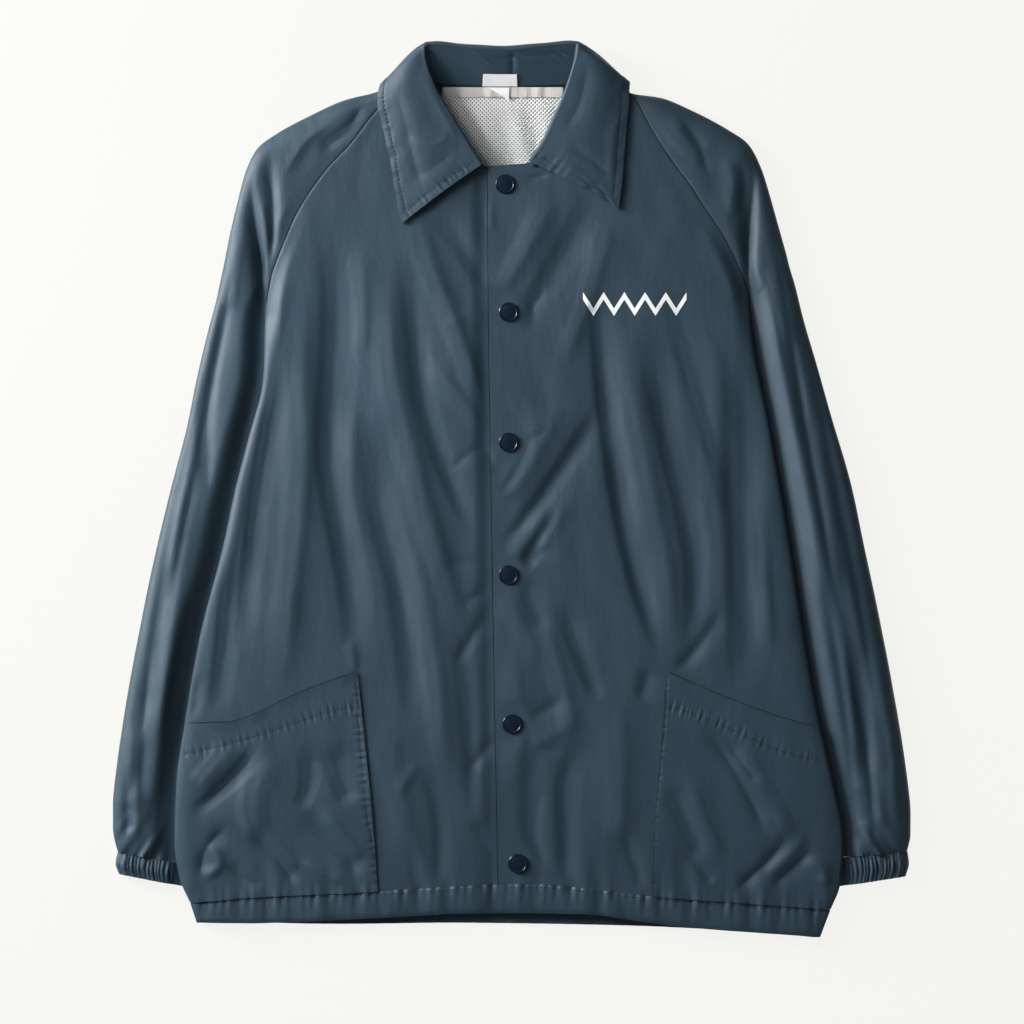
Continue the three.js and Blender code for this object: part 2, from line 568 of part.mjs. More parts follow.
// Collar. Each station runs from the neck seam up the stand, over the roll and down the leaf to its
// edge. roll is the middle of the roll's small arc, which turns from one angle to another, and bend
// draws the leaf's curve. The leaf lies on the fronts, turns over the shoulder and lies under the back.
const collarRight = [
  { seam: [-24, 275, 14.6], roll: [-26.5, 278, 16.2], bend: [-60, 256, 18], edge: [-95, 227.5, 15.4], from: 270, to: 90 },
  { seam: [-46, 293, 14.6], roll: [-40.5, 300, 17], bend: [-75, 280, 19], edge: [-100, 254, 15.4], from: 270, to: 90 },
  { seam: [-61, 316, 14.6], roll: [-54, 322, 18], bend: [-84, 306, 20], edge: [-105, 284, 15.4], from: 268, to: 88 },
  { seam: [-68, 336, 14.4], roll: [-66.5, 344, 19], bend: [-93, 330, 21], edge: [-111.5, 312, 15.4], from: 255, to: 80 },
  { seam: [-69, 349, 13], roll: [-73.2, 362, 19.5], bend: [-96, 347, 21], edge: [-115.5, 332, 15.4], from: 230, to: 70 },
  { seam: [-67.5, 352, 9], roll: [-75.5, 373.5, 19.5], bend: [-95, 363, 20], edge: [-112.3, 348.4, 11.2], from: 200, to: 50 },
  { seam: [-66.8, 351.3, 7.6], roll: [-75, 379, 19], bend: [-98, 366, 8], edge: [-106, 352, 3.2], from: 185, to: 35 },
  { seam: [-66, 350.8, 6.4], roll: [-71.5, 381.6, 18], bend: [-88, 374, 0.8], edge: [-98, 346, 1], from: 170, to: 20 },
  { seam: [-60, 348.8, 5.7], roll: [-62, 381.8, 18], bend: [-72, 386, 1], edge: [-84, 341, 1], from: 155, to: 0 },
  { seam: [-40, 348, 5.5], roll: [-38, 379.2, 17.5], bend: [-42, 385, 1], edge: [-62, 335.5, 1], from: 150, to: 0 },
  { seam: [-8, 347.5, 5.5], roll: [-8, 377.5, 17.2], bend: [-8, 384, 1], edge: [-8, 334, 1], from: 150, to: 0 },
];
const collarLeft = [
  { seam: [17, 277, 14.6], roll: [15.5, 280.5, 16.2], bend: [55, 264, 18], edge: [91.5, 240, 15.4], from: 270, to: 90 },
  { seam: [34, 293, 14.6], roll: [28.5, 300, 17], bend: [62, 285, 19], edge: [94.5, 265, 15.4], from: 270, to: 90 },
  { seam: [46, 315, 14.6], roll: [37.5, 320, 18], bend: [68, 308, 20], edge: [96.5, 291, 15.4], from: 268, to: 88 },
  { seam: [52.5, 334, 14.4], roll: [45.5, 338, 19], bend: [74, 331, 21], edge: [98.5, 316, 15.4], from: 255, to: 80 },
  { seam: [54, 349, 13], roll: [53, 361, 19.5], bend: [77, 348, 21], edge: [100.2, 334, 15.6], from: 230, to: 70 },
  { seam: [52.5, 352, 9], roll: [56.5, 374.5, 19.5], bend: [78, 366, 20], edge: [101, 348.8, 11.6], from: 200, to: 50 },
  { seam: [51.8, 351.3, 7.6], roll: [57, 379.8, 19], bend: [84, 367, 8], edge: [95.5, 352, 3.2], from: 185, to: 35 },
  { seam: [51, 350.8, 6.4], roll: [55.5, 382, 18], bend: [72, 375, 0.8], edge: [86, 345, 1], from: 170, to: 20 },
  { seam: [45, 348.8, 5.7], roll: [47, 382.4, 18], bend: [56, 386, 1], edge: [68, 341, 1], from: 155, to: 0 },
  { seam: [25, 348, 5.5], roll: [22, 379.8, 17.5], bend: [26, 386, 1], edge: [46, 335.5, 1], from: 150, to: 0 },
];
const collarStations = [...collarRight, ...[...collarLeft].reverse()];
const ROLL_RADIUS = 1.6;
const NECK_MIDDLE = [-8, 312];

function tripleColumn(table, name) {
  const parts = [0, 1, 2].map((k) => curve(table.map((row, i) => i), table.map((row) => row[name][k])));
  return (at) => new THREE.Vector3(parts[0](at), parts[1](at), parts[2](at));
}
const collarSeam = tripleColumn(collarStations, 'seam');
const collarRoll = tripleColumn(collarStations, 'roll');
const collarBend = tripleColumn(collarStations, 'bend');
const collarEdge = tripleColumn(collarStations, 'edge');
const collarFrom = column(collarStations, 'from');
const collarTo = column(collarStations, 'to');

function rollArc(place, share) {
  const middle = collarRoll(place);
  const out = new THREE.Vector3(middle.x - NECK_MIDDLE[0], middle.y - NECK_MIDDLE[1], 0).normalize();
  const angle = THREE.MathUtils.degToRad(mix(collarFrom(place), collarTo(place), share));
  return middle.clone()
    .addScaledVector(out, ROLL_RADIUS * Math.cos(angle))
    .add(new THREE.Vector3(0, 0, ROLL_RADIUS * Math.sin(angle)));
}

function collarSection(place) {
  const section = [];
  const stand = collarSeam(place);
  const standTop = rollArc(place, 0);
  for (const t of [0, 0.5]) {
    section.push(stand.clone().lerp(standTop, t));
  }
  for (const share of [0, 0.33, 0.66, 1]) {
    section.push(rollArc(place, share));
  }
  const leaf = new THREE.QuadraticBezierCurve3(rollArc(place, 1), collarBend(place), collarEdge(place));
  for (const t of [0.2, 0.45, 0.72, 1]) {
    section.push(leaf.getPoint(t));
  }
  return section;
}

const collarRowCount = (collarStations.length - 1) * 2 + 1;
const collarGrid = Array.from({ length: collarRowCount }, (unused, i) => collarSection(i / 2));
add('collar', wall(collarGrid, COLLAR_CLOTH), NAVY);

// Moves a place on a height surface out along the surface's normal.
function movedOut(height, x, y, offset) {
  const step = 0.5;
  const slopeX = (height(x + step, y) - height(x - step, y)) / (2 * step);
  const slopeY = (height(x, y + step) - height(x, y - step)) / (2 * step);
  const normal = new THREE.Vector3(-slopeX, -slopeY, 1).normalize();
  return new THREE.Vector3(x, y, height(x, y)).addScaledVector(normal, offset);
}

// Patch pockets, caught in the side fold and in the hem. Their mouths slope down to the side.
const POCKET_LIFT = 1.9;      // middle of a pocket over the middle of its front
const pocketRight = {
  side: right,
  inwards: 1,
  hemLine: hemLineRight,
  mouth: curve([-286, -241, -227, -182, -132], [-202, -200.5, -196, -175, -156.5]),
  inner: curve([-347, -270, -157], [-115.5, -121, -133]),
};
const pocketLeft = {
  side: left,
  inwards: -1,
  hemLine: hemLineLeft,
  mouth: curve([132, 196, 239, 268], [-157, -184, -199, -206]),
  inner: curve([-352, -290, -200, -157], [119.5, 122, 129, 132]),
};

function pocketGrid(pocket) {
  const rows = [];
  for (let j = 0; j <= 8; j += 1) {
    const row = [];
    for (let i = 0; i <= 10; i += 1) {
      const across = Math.sin((i / 10) * (Math.PI / 2)) ** 1.3;
      let x = mix(pocket.side.x(-260) + pocket.inwards * 4, pocket.inner(-260), across);
      let y = 0;
      for (let pass = 0; pass < 4; pass += 1) {
        y = mix(pocket.mouth(x), pocket.hemLine(x) + 1, j / 8);
        x = mix(pocket.side.x(y) + pocket.inwards * 4, pocket.inner(y), across);
      }
      row.push(movedOut(frontHeight, x, y, POCKET_LIFT));
    }
    rows.push(row);
  }
  return rows;
}
add('pocket_right', wall(pocketGrid(pocketRight).map((row) => row.reverse()), CLOTH), NAVY);
add('pocket_left', wall(pocketGrid(pocketLeft), CLOTH), NAVY);

// Hem casings, gathered by the cord inside them. The front strips hang from the fronts, and the back
// one lies on the table.
const CASING = 1.8;           // thickness of a casing
const GATHER_PITCH = 10.5;
const GATHER_HEIGHT = 0.7;
const hemEdgeRight = curve([-272, -225, -157, -96, -36, 23], [-373, -373.5, -371, -368, -365, -365]);
const hemEdgeLeft = curve([-11.5, 28, 67, 110, 162, 230, 266], [-364.5, -365, -366, -372, -378, -383, -385.5]);

function gather(along) {
  return GATHER_HEIGHT * (0.55 + 0.45 * Math.sin(along * 0.061)) * Math.sin((along / GATHER_PITCH) * 2 * Math.PI);
}

function frontHem(from, to, hemLine, hemEdge, side, height) {
  const count = Math.round(Math.abs(to - from) / (GATHER_PITCH / 3));
  const inwards = Math.sign(to - from);
  return [0, 1].map((down) => Array.from({ length: count + 1 }, (unused, i) => {
    const t = i / count;
    let x = mix(from, to, t);
    const top = hemLine(x) - SEAM_GAP;
    const y = mix(top, hemEdge(x), down);
    const edge = side.x(y) + inwards * SEAM_GAP / 2;
    const shift = ease(1 - t / 0.1);
    x = mix(x, edge + (x - from), shift);
    const near = ease(Math.abs(x - edge) / 10);
    return new THREE.Vector3(x, y, height(x, y) + gather(x) * near * mix(0.5, 1, down) + 0.7 * (1 - near));
  }));
}
const hemRightGrid = frontHem(-277, 22.5, hemLineRight, hemEdgeRight, right, underHeight);
const hemLeftGrid = frontHem(273, -11.5, hemLineLeft, hemEdgeLeft, left, frontHeight);
add('hem_front_right', wall(hemRightGrid.map((row) => row.reverse()), CASING), NAVY);
add('hem_front_left', wall(hemLeftGrid, CASING), NAVY);

const backHemEdge = curve([-271, -150, -55, 0, 103, 200, 265], [-372.5, -375, -374, -374.5, -376.5, -381, -385]);
function hemBack() {
  const count = 90;
  const rows = [0, 1].map((down) => Array.from({ length: count + 1 }, (unused, i) => {
    const t = i / count;
    const across = 0.5 - 0.5 * Math.cos(Math.PI * t);
    const spread = mix(t, across, 0.35);
    const top = mix(-355, -361, spread) - SEAM_GAP;
    const guess = mix(-276, 272, spread);
    const y = mix(top, backHemEdge(guess), down);
    const x = mix(right.x(y) + SEAM_GAP / 2, left.x(y) - SEAM_GAP / 2, spread);
    const inward = Math.min(x - right.x(y), left.x(y) - x);
    const lift = (CASING - CLOTH) / 2 + 0.5 * GATHER_HEIGHT * (1 + Math.sin((x / 15) * 2 * Math.PI));
    return new THREE.Vector3(x, y, backHeight(x, y) + lift * ease(inward / 20));
  }));
  return wall(rows.map((row) => row.reverse()), CASING);
}
add('hem_back', hemBack(), NAVY);

// Cuffs: rings gathered by the elastic inside them, each just below its sleeve's end.
const CUFF_CLOTH = 1.6;
const CUFF_TOP_Z = 8.2;
const CUFF_FOLD_Z = 4.4;
const CUFF_GATHERS = 16;      // on the upper side
const cuffRightRows = [
  { inner: [-267, -326.5], outer: [-339.3, -314.2], swell: 0 },
  { inner: [-269, -335.5], outer: [-341, -322.5], swell: 0.9 },
  { inner: [-270, -345], outer: [-338, -331.5], swell: 0 },
];
const cuffLeftRows = [
  { inner: [265, -320.5], outer: [340.2, -313.2], swell: 0 },
  { inner: [267.5, -332.5], outer: [341.5, -322.5], swell: 0.9 },
  { inner: [269, -344.5], outer: [338.5, -333.5], swell: 0 },
];

function cuffGrid(table) {
  return table.map((row, down) => {
    const width = Math.hypot(row.outer[0] - row.inner[0], row.outer[1] - row.inner[1]);
    const round = 9;
    const at = (distance, z) => {
      const t = distance / width;
      return new THREE.Vector3(mix(row.inner[0], row.outer[0], t), mix(row.inner[1], row.outer[1], t), z);
    };
    const turn = (distance) => {
      const over = Math.max(0, distance - width + round) / round;
      const tuck = Math.max(0, TUCK_ROUND - distance) / TUCK_ROUND;
      return [Math.sqrt(Math.max(0, 1 - over * over)), Math.sqrt(Math.max(0, 1 - tuck * tuck))];
    };
    const section = [];
    const count = CUFF_GATHERS * 4;
    for (let i = 0; i <= count; i += 1) {
      const distance = (width * i) / count;
      const [outerTurn, innerTurn] = turn(distance);
      const shownTop = mix(TUCK_TOP_Z, CUFF_TOP_Z + row.swell, ease((distance - 18) / 14));
      const ripple = 0.8 * Math.sin((i / 4) * 2 * Math.PI + down * 0.5) * ease((distance - 16) / 12);
      const top = mix(TUCK_EDGE_Z + 0.95, shownTop + ripple, innerTurn);
      section.push(at(distance, mix(CUFF_FOLD_Z, top, outerTurn)));
    }
    for (const mark of [0.985, 0.94, 0.8, 0.5, 0.2, 0.04, 0]) {
      const [outerTurn, innerTurn] = turn(mark * width);
      const low = mix(TUCK_EDGE_Z - 0.75, CUFF_CLOTH / 2, innerTurn);
      section.push(at(mark * width, mix(CUFF_FOLD_Z, low, outerTurn)));
    }
    return section;
  });
}
add('cuff_right', wall(cuffGrid(cuffRightRows), CUFF_CLOTH), NAVY);
add('cuff_left', wall(cuffGrid(cuffLeftRows).map((row) => row.reverse()), CUFF_CLOTH), NAVY);

// Mesh lining and neck tape inside the back of the neck, where they show in the neck opening.
const LINING = 1.0;
const liningZ = (x, y) => backHeight(x, y) + CLOTH / 2 + LAY_GAP + LINING / 2;
const tapeZ = (x, y) => liningZ(x, y) + LINING / 2 + LAY_GAP + LINING / 2;

function flatPiece(corners, columns, rowCount, height) {
  const [topLeft, topRight, lowRight, lowLeft] = corners;
  return Array.from({ length: rowCount + 1 }, (unusedRow, j) => {
    const down = j / rowCount;
    return Array.from({ length: columns + 1 }, (unusedPoint, i) => {
      const t = i / columns;
      const x = mix(mix(topLeft[0], lowLeft[0], down), mix(topRight[0], lowRight[0], down), t);
      const y = mix(mix(topLeft[1], lowLeft[1], down), mix(topRight[1], lowRight[1], down), t);
      return new THREE.Vector3(x, y, height(x, y));
    });
  }).map((row) => row.reverse());
}
const liningGrid = flatPiece([[-60, 345.5], [44, 345.5], [66, 232], [-80, 232]], 7, 9, liningZ);
const tapeGrid = flatPiece([[-59, 345.5], [43.5, 345.5], [44.5, 337.5], [-60, 337.5]], 8, 1, tapeZ);
add('lining_back', wall(liningGrid, LINING), MESH_GREY, 0.9);
add('neck_tape', wall(tapeGrid, LINING), TAPE_GREY, 0.8);

// Blank care label, sewn in the back neck seam and standing against the collar's stand, and a small
// folded tab below it on the tape.
const LABEL = 0.6;
const label = { from: -24, to: 3, low: 0.03, high: 0.34 };
function labelGrid() {
  const middle = collarRight.length - 1;
  const stationX = curve(collarStations.map((row) => row.roll[0]).slice(middle - 2, middle + 2), [-2, -1, 0, 1]);
  const rows = [0, 1, 2, 3].map((j) => Array.from({ length: 7 }, (unused, i) => {
    const x = mix(label.from, label.to, i / 6);
    const place = middle + stationX(x);
    const low = collarSeam(place);
    const high = rollArc(place, 0);
    const slope = new THREE.Vector3().subVectors(high, low).normalize();
    const normal = new THREE.Vector3(0, -slope.z, slope.y).normalize();
    const point = low.lerp(high, mix(label.high, label.low, j / 3));
    return point.addScaledVector(normal, COLLAR_CLOTH / 2 + LAY_GAP + LABEL / 2);
  }));
  return rows.map((row) => row.reverse());
}
add('label', wall(labelGrid(), LABEL), LABEL_WHITE, 0.7);

const tabShape = new THREE.Shape([[-20, 345.5], [-2.5, 335], [-2.5, 345.5]].map(([x, y]) => new THREE.Vector2(x, y)));
const tab = add('label_tab', new THREE.ExtrudeGeometry(tabShape, { depth: LABEL, bevelEnabled: false }), LABEL_WHITE, 0.7);
tab.position.z = tapeZ(-10, 345.5) + LINING / 2 + LAY_GAP;

// Snap caps: low domes with a rolled rim, set on the placket.
const snapProfile = [
  [0, 0], [7.9, 0], [SNAP_DIAMETER / 2, 1.0], [8, 1.9], [7.3, 2.1], [6.7, 1.7], [0, 2.3],
].map(([radius, height]) => new THREE.Vector2(radius, height));
snaps.forEach((snap, i) => {
  const geometry = new THREE.LatheGeometry(snapProfile, 14);
  geometry.rotateX(Math.PI / 2);
  const cap = add(`snap_${i + 1}`, geometry, SNAP_NAVY, 0.2);
  let seat = 0;
  for (let angle = 0; angle < 12; angle += 1) {
    const x = snap.x + 9 * Math.cos((angle * Math.PI) / 6);
    const y = snap.y + 9 * Math.sin((angle * Math.PI) / 6);
    seat = Math.max(seat, frontHeight(x, y));
  }
  cap.position.set(snap.x, snap.y, seat + CLOTH / 2 + LAY_GAP);
});

export default jacket;
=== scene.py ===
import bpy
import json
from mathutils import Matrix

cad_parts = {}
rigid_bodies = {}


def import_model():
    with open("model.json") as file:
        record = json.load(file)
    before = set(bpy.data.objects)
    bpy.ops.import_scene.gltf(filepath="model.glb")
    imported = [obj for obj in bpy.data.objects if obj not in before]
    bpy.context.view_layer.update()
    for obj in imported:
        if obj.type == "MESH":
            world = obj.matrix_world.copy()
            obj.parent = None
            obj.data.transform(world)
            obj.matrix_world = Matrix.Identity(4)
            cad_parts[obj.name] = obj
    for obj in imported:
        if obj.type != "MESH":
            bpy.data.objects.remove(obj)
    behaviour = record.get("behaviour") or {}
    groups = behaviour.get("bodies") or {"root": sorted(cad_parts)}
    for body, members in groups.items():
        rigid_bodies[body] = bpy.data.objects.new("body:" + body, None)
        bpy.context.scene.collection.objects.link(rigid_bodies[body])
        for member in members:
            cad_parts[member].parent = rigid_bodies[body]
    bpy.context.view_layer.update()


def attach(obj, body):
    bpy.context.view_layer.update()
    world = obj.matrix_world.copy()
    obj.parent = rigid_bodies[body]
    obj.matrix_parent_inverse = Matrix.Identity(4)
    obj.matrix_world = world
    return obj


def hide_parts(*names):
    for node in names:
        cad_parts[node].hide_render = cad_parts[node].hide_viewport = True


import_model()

import json
import math

import bmesh
import bpy
import numpy as np
from mathutils import Matrix, Vector

bl_info = {
    "name": "Windbreaker",
    "version": (1, 0, 0),
    "blender": (4, 5, 0),
    "location": "3D View > Sidebar > Windbreaker",
    "description": "Windbreaker laid flat: taffeta panels, collar, pockets, gathers and snaps",
    "category": "Add Mesh",
}

# All tables below are in millimetres, in the jacket's frame: x to the wearer's left, y to the collar,
# z up from the table. Right and left are the wearer's.
MM = 0.001
FRONT_Z = 12.4
TUCK_Z = 5.5
SIDE_ROUND = 15.0
PLACKET_STEP = 2.2
HEM_SINK = 2.2
SNAP_REACH = 11
LAY_GAP = 0.4
FOLD_GAIN = 1.1
FOLD_START = 0.32
FOLD_END = 0.22
CREASE_GAIN = 1.1
POCKET_GAIN = 1.3
FINE_WEIGHT = 7

# Walls of the sheets and faces of their grids, across and along.
CLOTH = 1.2
CASING = 1.8
CUFF_CLOTH = 1.6
LINING = 1.0
FRONT_WALL = 0.8
FRONT_LIFT = 0.2
SLEEVE_WALL = 0.9
COLLAR_WALL = 1.9
POCKET_WALL = 0.9
LINING_WALL = 0.8
LABEL_WALL = 0.6
PRINT_WALL = 0.06
FRONT_GRID = (118, 262)
BACK_GRID = (84, 110)
POCKET_GRID = (140, 112)
HEM_GRID = (300, 16)
BACK_HEM_GRID = (260, 5)
LINING_GRID = (90, 90)
TAPE_GRID = (110, 12)
LABEL_GRID = (30, 16)
TAB_GRID = (16, 8)


def running(steps):
    """Lengths run so far, from 0, for a list of steps."""
    return np.concatenate([[0], np.cumsum(steps)])


def plan_steps(points):
    """Lengths of the steps between points in plan."""
    return np.hypot(*np.diff(points, axis=0).T)


def clamp(t):
    return np.clip(t, 0.0, 1.0)


def mix(a, b, t):
    return a + (b - a) * t


def ease(t):
    t = clamp(t)
    return t * t * (3 - 2 * t)


def curve(places, values):
    """A smooth curve through the given values that never overshoots them."""
    places = np.asarray(places, float)
    values = np.asarray(values, float)
    steps = np.diff(places)
    slopes = np.diff(values) / steps
    inner = np.zeros(len(places) - 2)
    same = slopes[:-1] * slopes[1:] > 0
    inner[same] = 2 * slopes[:-1][same] * slopes[1:][same] / (slopes[:-1][same] + slopes[1:][same])
    tangents = np.concatenate([[slopes[0]], inner, [slopes[-1]]])

    def read(at):
        at = np.clip(np.asarray(at, float), places[0], places[-1])
        i = np.clip(np.searchsorted(places, at) - 1, 0, len(places) - 2)
        step = steps[i]
        t = (at - places[i]) / step
        rise = values[i + 1] - values[i]
        first = step * tangents[i]
        bend = first + step * tangents[i + 1] - 2 * rise
        return values[i] + first * t + (rise - first - bend) * t ** 2 + bend * t ** 3

    return read


def columns(rows, names, over=None, usual=()):
    """Reads a table of rows as curves, one for each named column. A short row ends in the usual
    values."""
    table = np.array([row + usual[len(row) + len(usual) - len(names):] for row in rows], float)
    if over is not None:
        table = table[np.argsort(table[:, names.index(over)])]
    places = table[:, names.index(over)] if over is not None else np.arange(len(table))
    return {name: curve(places, table[:, k]) for k, name in enumerate(names) if name != over}


# Side lines of the body, down the raglan seam to the armpit and down the side fold: y, x, height of
# the front layer, height of the back layer, and 1 where the two turn into each other.
SIDE_NAMES = ["y", "x", "front", "back", "fold"]
SIDE_USUAL = (8.9, 7.4, 1)
UNDER_USUAL = (0.6,)
SIDE_RIGHT = columns([
    (352, -72.5, 11.8, 3.4, 0), (343, -93, 12.2, 3.4, 0), (328, -115, 12.4, 2.6, 0),
    (298, -139, 12.4, 0.6, 0), (272, -163, 12.4, 0.6, 0), (235, -187, 12.0, 0.8, 0),
    (212, -197, 11.2, 1.3, 0), (182, -208, 8.4, 2.3, 0.08), (150, -212.5, 5.5, 3.4, 0.3),
    (144, -212.5, 6.6, 5.0, 0.4), (138, -212.6, 7.4, 5.8, 0.5), (120, -212.8, 8.4, 6.8, 0.8), (94, -214),
    (42, -227), (-1, -238), (-52, -249), (-130, -269), (-202, -281.5), (-253, -288.5),
    (-305, -290, 8.5, 7.0, 1), (-337, -285, 7.8, 6.3, 1), (-356, -277, 7.2, 5.7, 1),
    (-374, -271, 6.8, 5.3, 1),
], SIDE_NAMES, "y", SIDE_USUAL)
SIDE_LEFT = columns([
    (352, 57.5, 11.8, 3.4, 0), (345, 84, 12.2, 3.4, 0), (336, 104, 12.4, 2.6, 0),
    (310, 119, 12.4, 1.0, 0), (286, 134, 12.4, 0.6, 0), (260, 153, 12.4, 0.6, 0),
    (237, 168, 12.0, 0.8, 0), (221, 179, 11.2, 1.3, 0), (192, 194, 8.4, 2.3, 0.08),
    (163, 203.5, 5.5, 3.4, 0.3), (157, 203.7, 6.6, 5.0, 0.4), (151, 204, 7.4, 5.8, 0.5),
    (133, 206, 8.4, 6.8, 0.8), (107, 210), (73, 217), (25, 226), (-27, 235), (-130, 251), (-191, 262),
    (-249, 275.5), (-305, 285, 8.5, 7.0, 1), (-341, 282, 7.8, 6.3, 1), (-362, 274, 7.2, 5.7, 1),
    (-386, 265, 6.8, 5.3, 1),
], SIDE_NAMES, "y", SIDE_USUAL)

SNAPS = [(-6, 262), (-3, 152), (-3, 40), (-3, -74), (0, -202), (5, -322)]

# Folds and creases: half width, height, lean of the steeper flank, and the course. The fronts have
# main folds and finer creases, and the pockets have creases of their own.
FRONT_FOLDS = [
    (14, 2, 0.5, (-188, 229), (-198, 168), (-215, 102), (-228, 36), (-241, -35), (-255, -113)),
    (11, -2, 0.5, (-194, 137), (-203, 77), (-215, 8), (-225, -70), (-231, -147)),
    (14, 2.2, 0.5, (-172, 206), (-180, 102), (-177, 36), (-182, -35), (-191, -113), (-195, -181)),
    (17, -3.4, 0.65, (-157, 257), (-150, 168), (-153, 102), (-157, 36), (-146, -44), (-135, -113),
     (-131, -164)),
    (13, 2.2, 0.35, (-106, 236), (-104, 135), (-98, 85), (-86, 36), (-72, -18), (-55, -78), (-38, -138)),
    (11, -2.4, 0.5, (-94, 227), (-84, 151), (-78, 85), (-64, 36), (-46, -9), (-26, -52)),
    (10, 2, 0.5, (-85, 244), (-62, 176), (-45, 135), (-22, 59)),
    (10, -1.8, 0.35, (-64, 244), (-37, 200), (-22, 169)),
    (8, 1.3, 0.65, (-72, 114), (-49, 85), (-20, 46)),
    (14, -2.6, 0.5, (-120, 77), (-114, -9), (-98, -78), (-89, -147), (-84, -216)),
    (12, 1.9, 0.35, (-98, 8), (-75, -95), (-62, -173), (-55, -250)),
    (12, -2, 0.5, (-236, -44), (-246, -130), (-255, -199)),
    (12, 1.3, 0.35, (-109, -190), (-96, -259), (-79, -319)),
    (10, -1.5, 0.5, (-49, -104), (-36, -199), (-33, -285)),
    (9, 1.2, 0.5, (-138, 77), (-138, 8), (-124, -61)),
    (13, 1.8, 0.5, (41, 77), (14, 18), (-13, -14)),
    (7, -1.3, 0.5, (14, 51), (5, 16), (-13, -5)),
    (8, 1.5, 0.65, (34, -11), (9, -52), (0, -68)),
    (10, 1.4, 0.35, (211, 16), (216, -52), (222, -147)),
    (8, 1, 0.5, (-6, -85), (27, -155)),
    (8, -1.1, 0.5, (7, -78), (30, -123)),
    (10, -2, 0.5, (41, -92), (58, -138), (76, -186)),
    (10, 1.4, 0.35, (24, -104), (46, -173), (55, -216)),
    (7, -1.6, 0.65, (118, -151), (110, -183)),
    (13, -2, 0.5, (76, 257), (41, 195), (0, 132)),
    (10, 1.6, 0.35, (41, 257), (7, 195), (-12, 163)),
    (9, 1.2, 0.35, (86, 236), (67, 163), (41, 101)),
    (11, -2, 0.65, (67, -207), (45, -259), (46, -345)),
    (12, 1.5, 0.35, (86, -173), (95, -242), (91, -319)),
    (9, -1.2, 0.5, (21, -216), (14, -285), (24, -336)),
    (10, 1.1, 0.35, (-3, -130), (7, -199), (0, -267)),
    (8, -1.3, 0.5, (-75, -233), (-62, -293), (-65, -345)),
    (8, 1.1, 0.5, (-131, 214), (-127, 163), (-126, 111)),
    (12, -3.4, 0.8, (71, 206), (76, 137), (79, 94), (84, 46), (92, -9), (103, -65), (119, -117),
     (135, -156)),
    (13, -2.4, 0.7, (115, 154), (126, 85), (136, 34), (148, -18), (157, -70), (157, -113), (146, -150)),
    (15, -2, 0.5, (134, 188), (153, 120), (170, 59), (184, 8), (193, -44)),
    (13, 1.8, 0.4, (95, 163), (103, 94), (114, 34), (126, -27), (136, -87), (139, -143)),
    (19, -2.6, 0.4, (203, 137), (201, 59), (200, -9), (201, -78), (200, -138), (203, -190)),
    (14, 1.5, 0.3, (175, 163), (174, 77), (177, 8), (181, -61), (172, -121)),
    (6, -2, 0.6, (182, -101), (167, -126), (151, -145), (138, -157)),
    (9, -2.6, 0.7, (81, 80), (65, 51), (46, 23), (24, -9), (5, -34), (-10, -51)),
    (6, -2, 0.7, (41, -15), (28, -35), (15, -54), (4, -70)),
    (7, 1.4, 0.3, (50, -9), (34, -35), (21, -58)),
]
FRONT_CREASES = [
    (5, -1.4, 0.3, (-20, -104), (-34, -126), (-50, -152)),
    (4, -0.9, 0.0, (-20, -82), (-30, -92), (-44, -100)),
    (5, -1.3, 0.2, (-16, -212), (-26, -228), (-38, -243)),
    (6, -1.2, 0.0, (-30, -284), (-27, -298), (-20, -310)),
    (4, 0.9, 0.3, (-83, -293), (-78, -320), (-75, -343)),
    (5, 1.0, 0.2, (-78, -234), (-90, -250), (-97, -264)),
    (5, 1.3, 0.3, (-140, -130), (-134, -156)),
    (5, -1.0, 0.0, (-269, -158), (-274, -198)),
    (5, -0.9, 0.2, (-118, 338), (-124, 318)),
    (6, -1.2, 0.0, (93, -288), (104, -318), (114, -345)),
    (5, -0.9, 0.2, (26, -252), (20, -290), (28, -330)),
    (4, -0.8, 0.3, (-14, 158), (-34, 170), (-60, 176)),
    (4, 0.7, 0.3, (-14, 146), (-36, 148), (-58, 140)),
    (4, -0.8, 0.3, (-12, 40), (-34, 32), (-54, 16)),
    (4, -0.7, 0.3, (-14, -66), (-38, -62), (-62, -70)),
    (4, -0.8, 0.3, (8, -208), (22, -222), (46, -230)),
    (6, -1.2, 0.2, (49, -175), (30, -190), (10, -200)),
    (6, 1.0, 0.2, (62, -196), (36, -212), (14, -222)),
    (3, -0.7, 0.2, (7, 150), (18, 158), (30, 172)),
    (3, -0.7, 0.2, (7, 40), (20, 44), (34, 56)),
    (3, -0.7, 0.2, (8, -70), (20, -60), (34, -50)),
    (3, -0.8, 0.2, (8, 262), (20, 268), (32, 270)),
    (3, 0.6, 0.2, (-14, 250), (-18, 236), (-17, 222)),
    (3, -0.6, 0.2, (-14, 36), (-19, 30), (-18, 20)),
    (3, -0.6, 0.2, (-13, 148), (-18, 142), (-18, 132)),
]
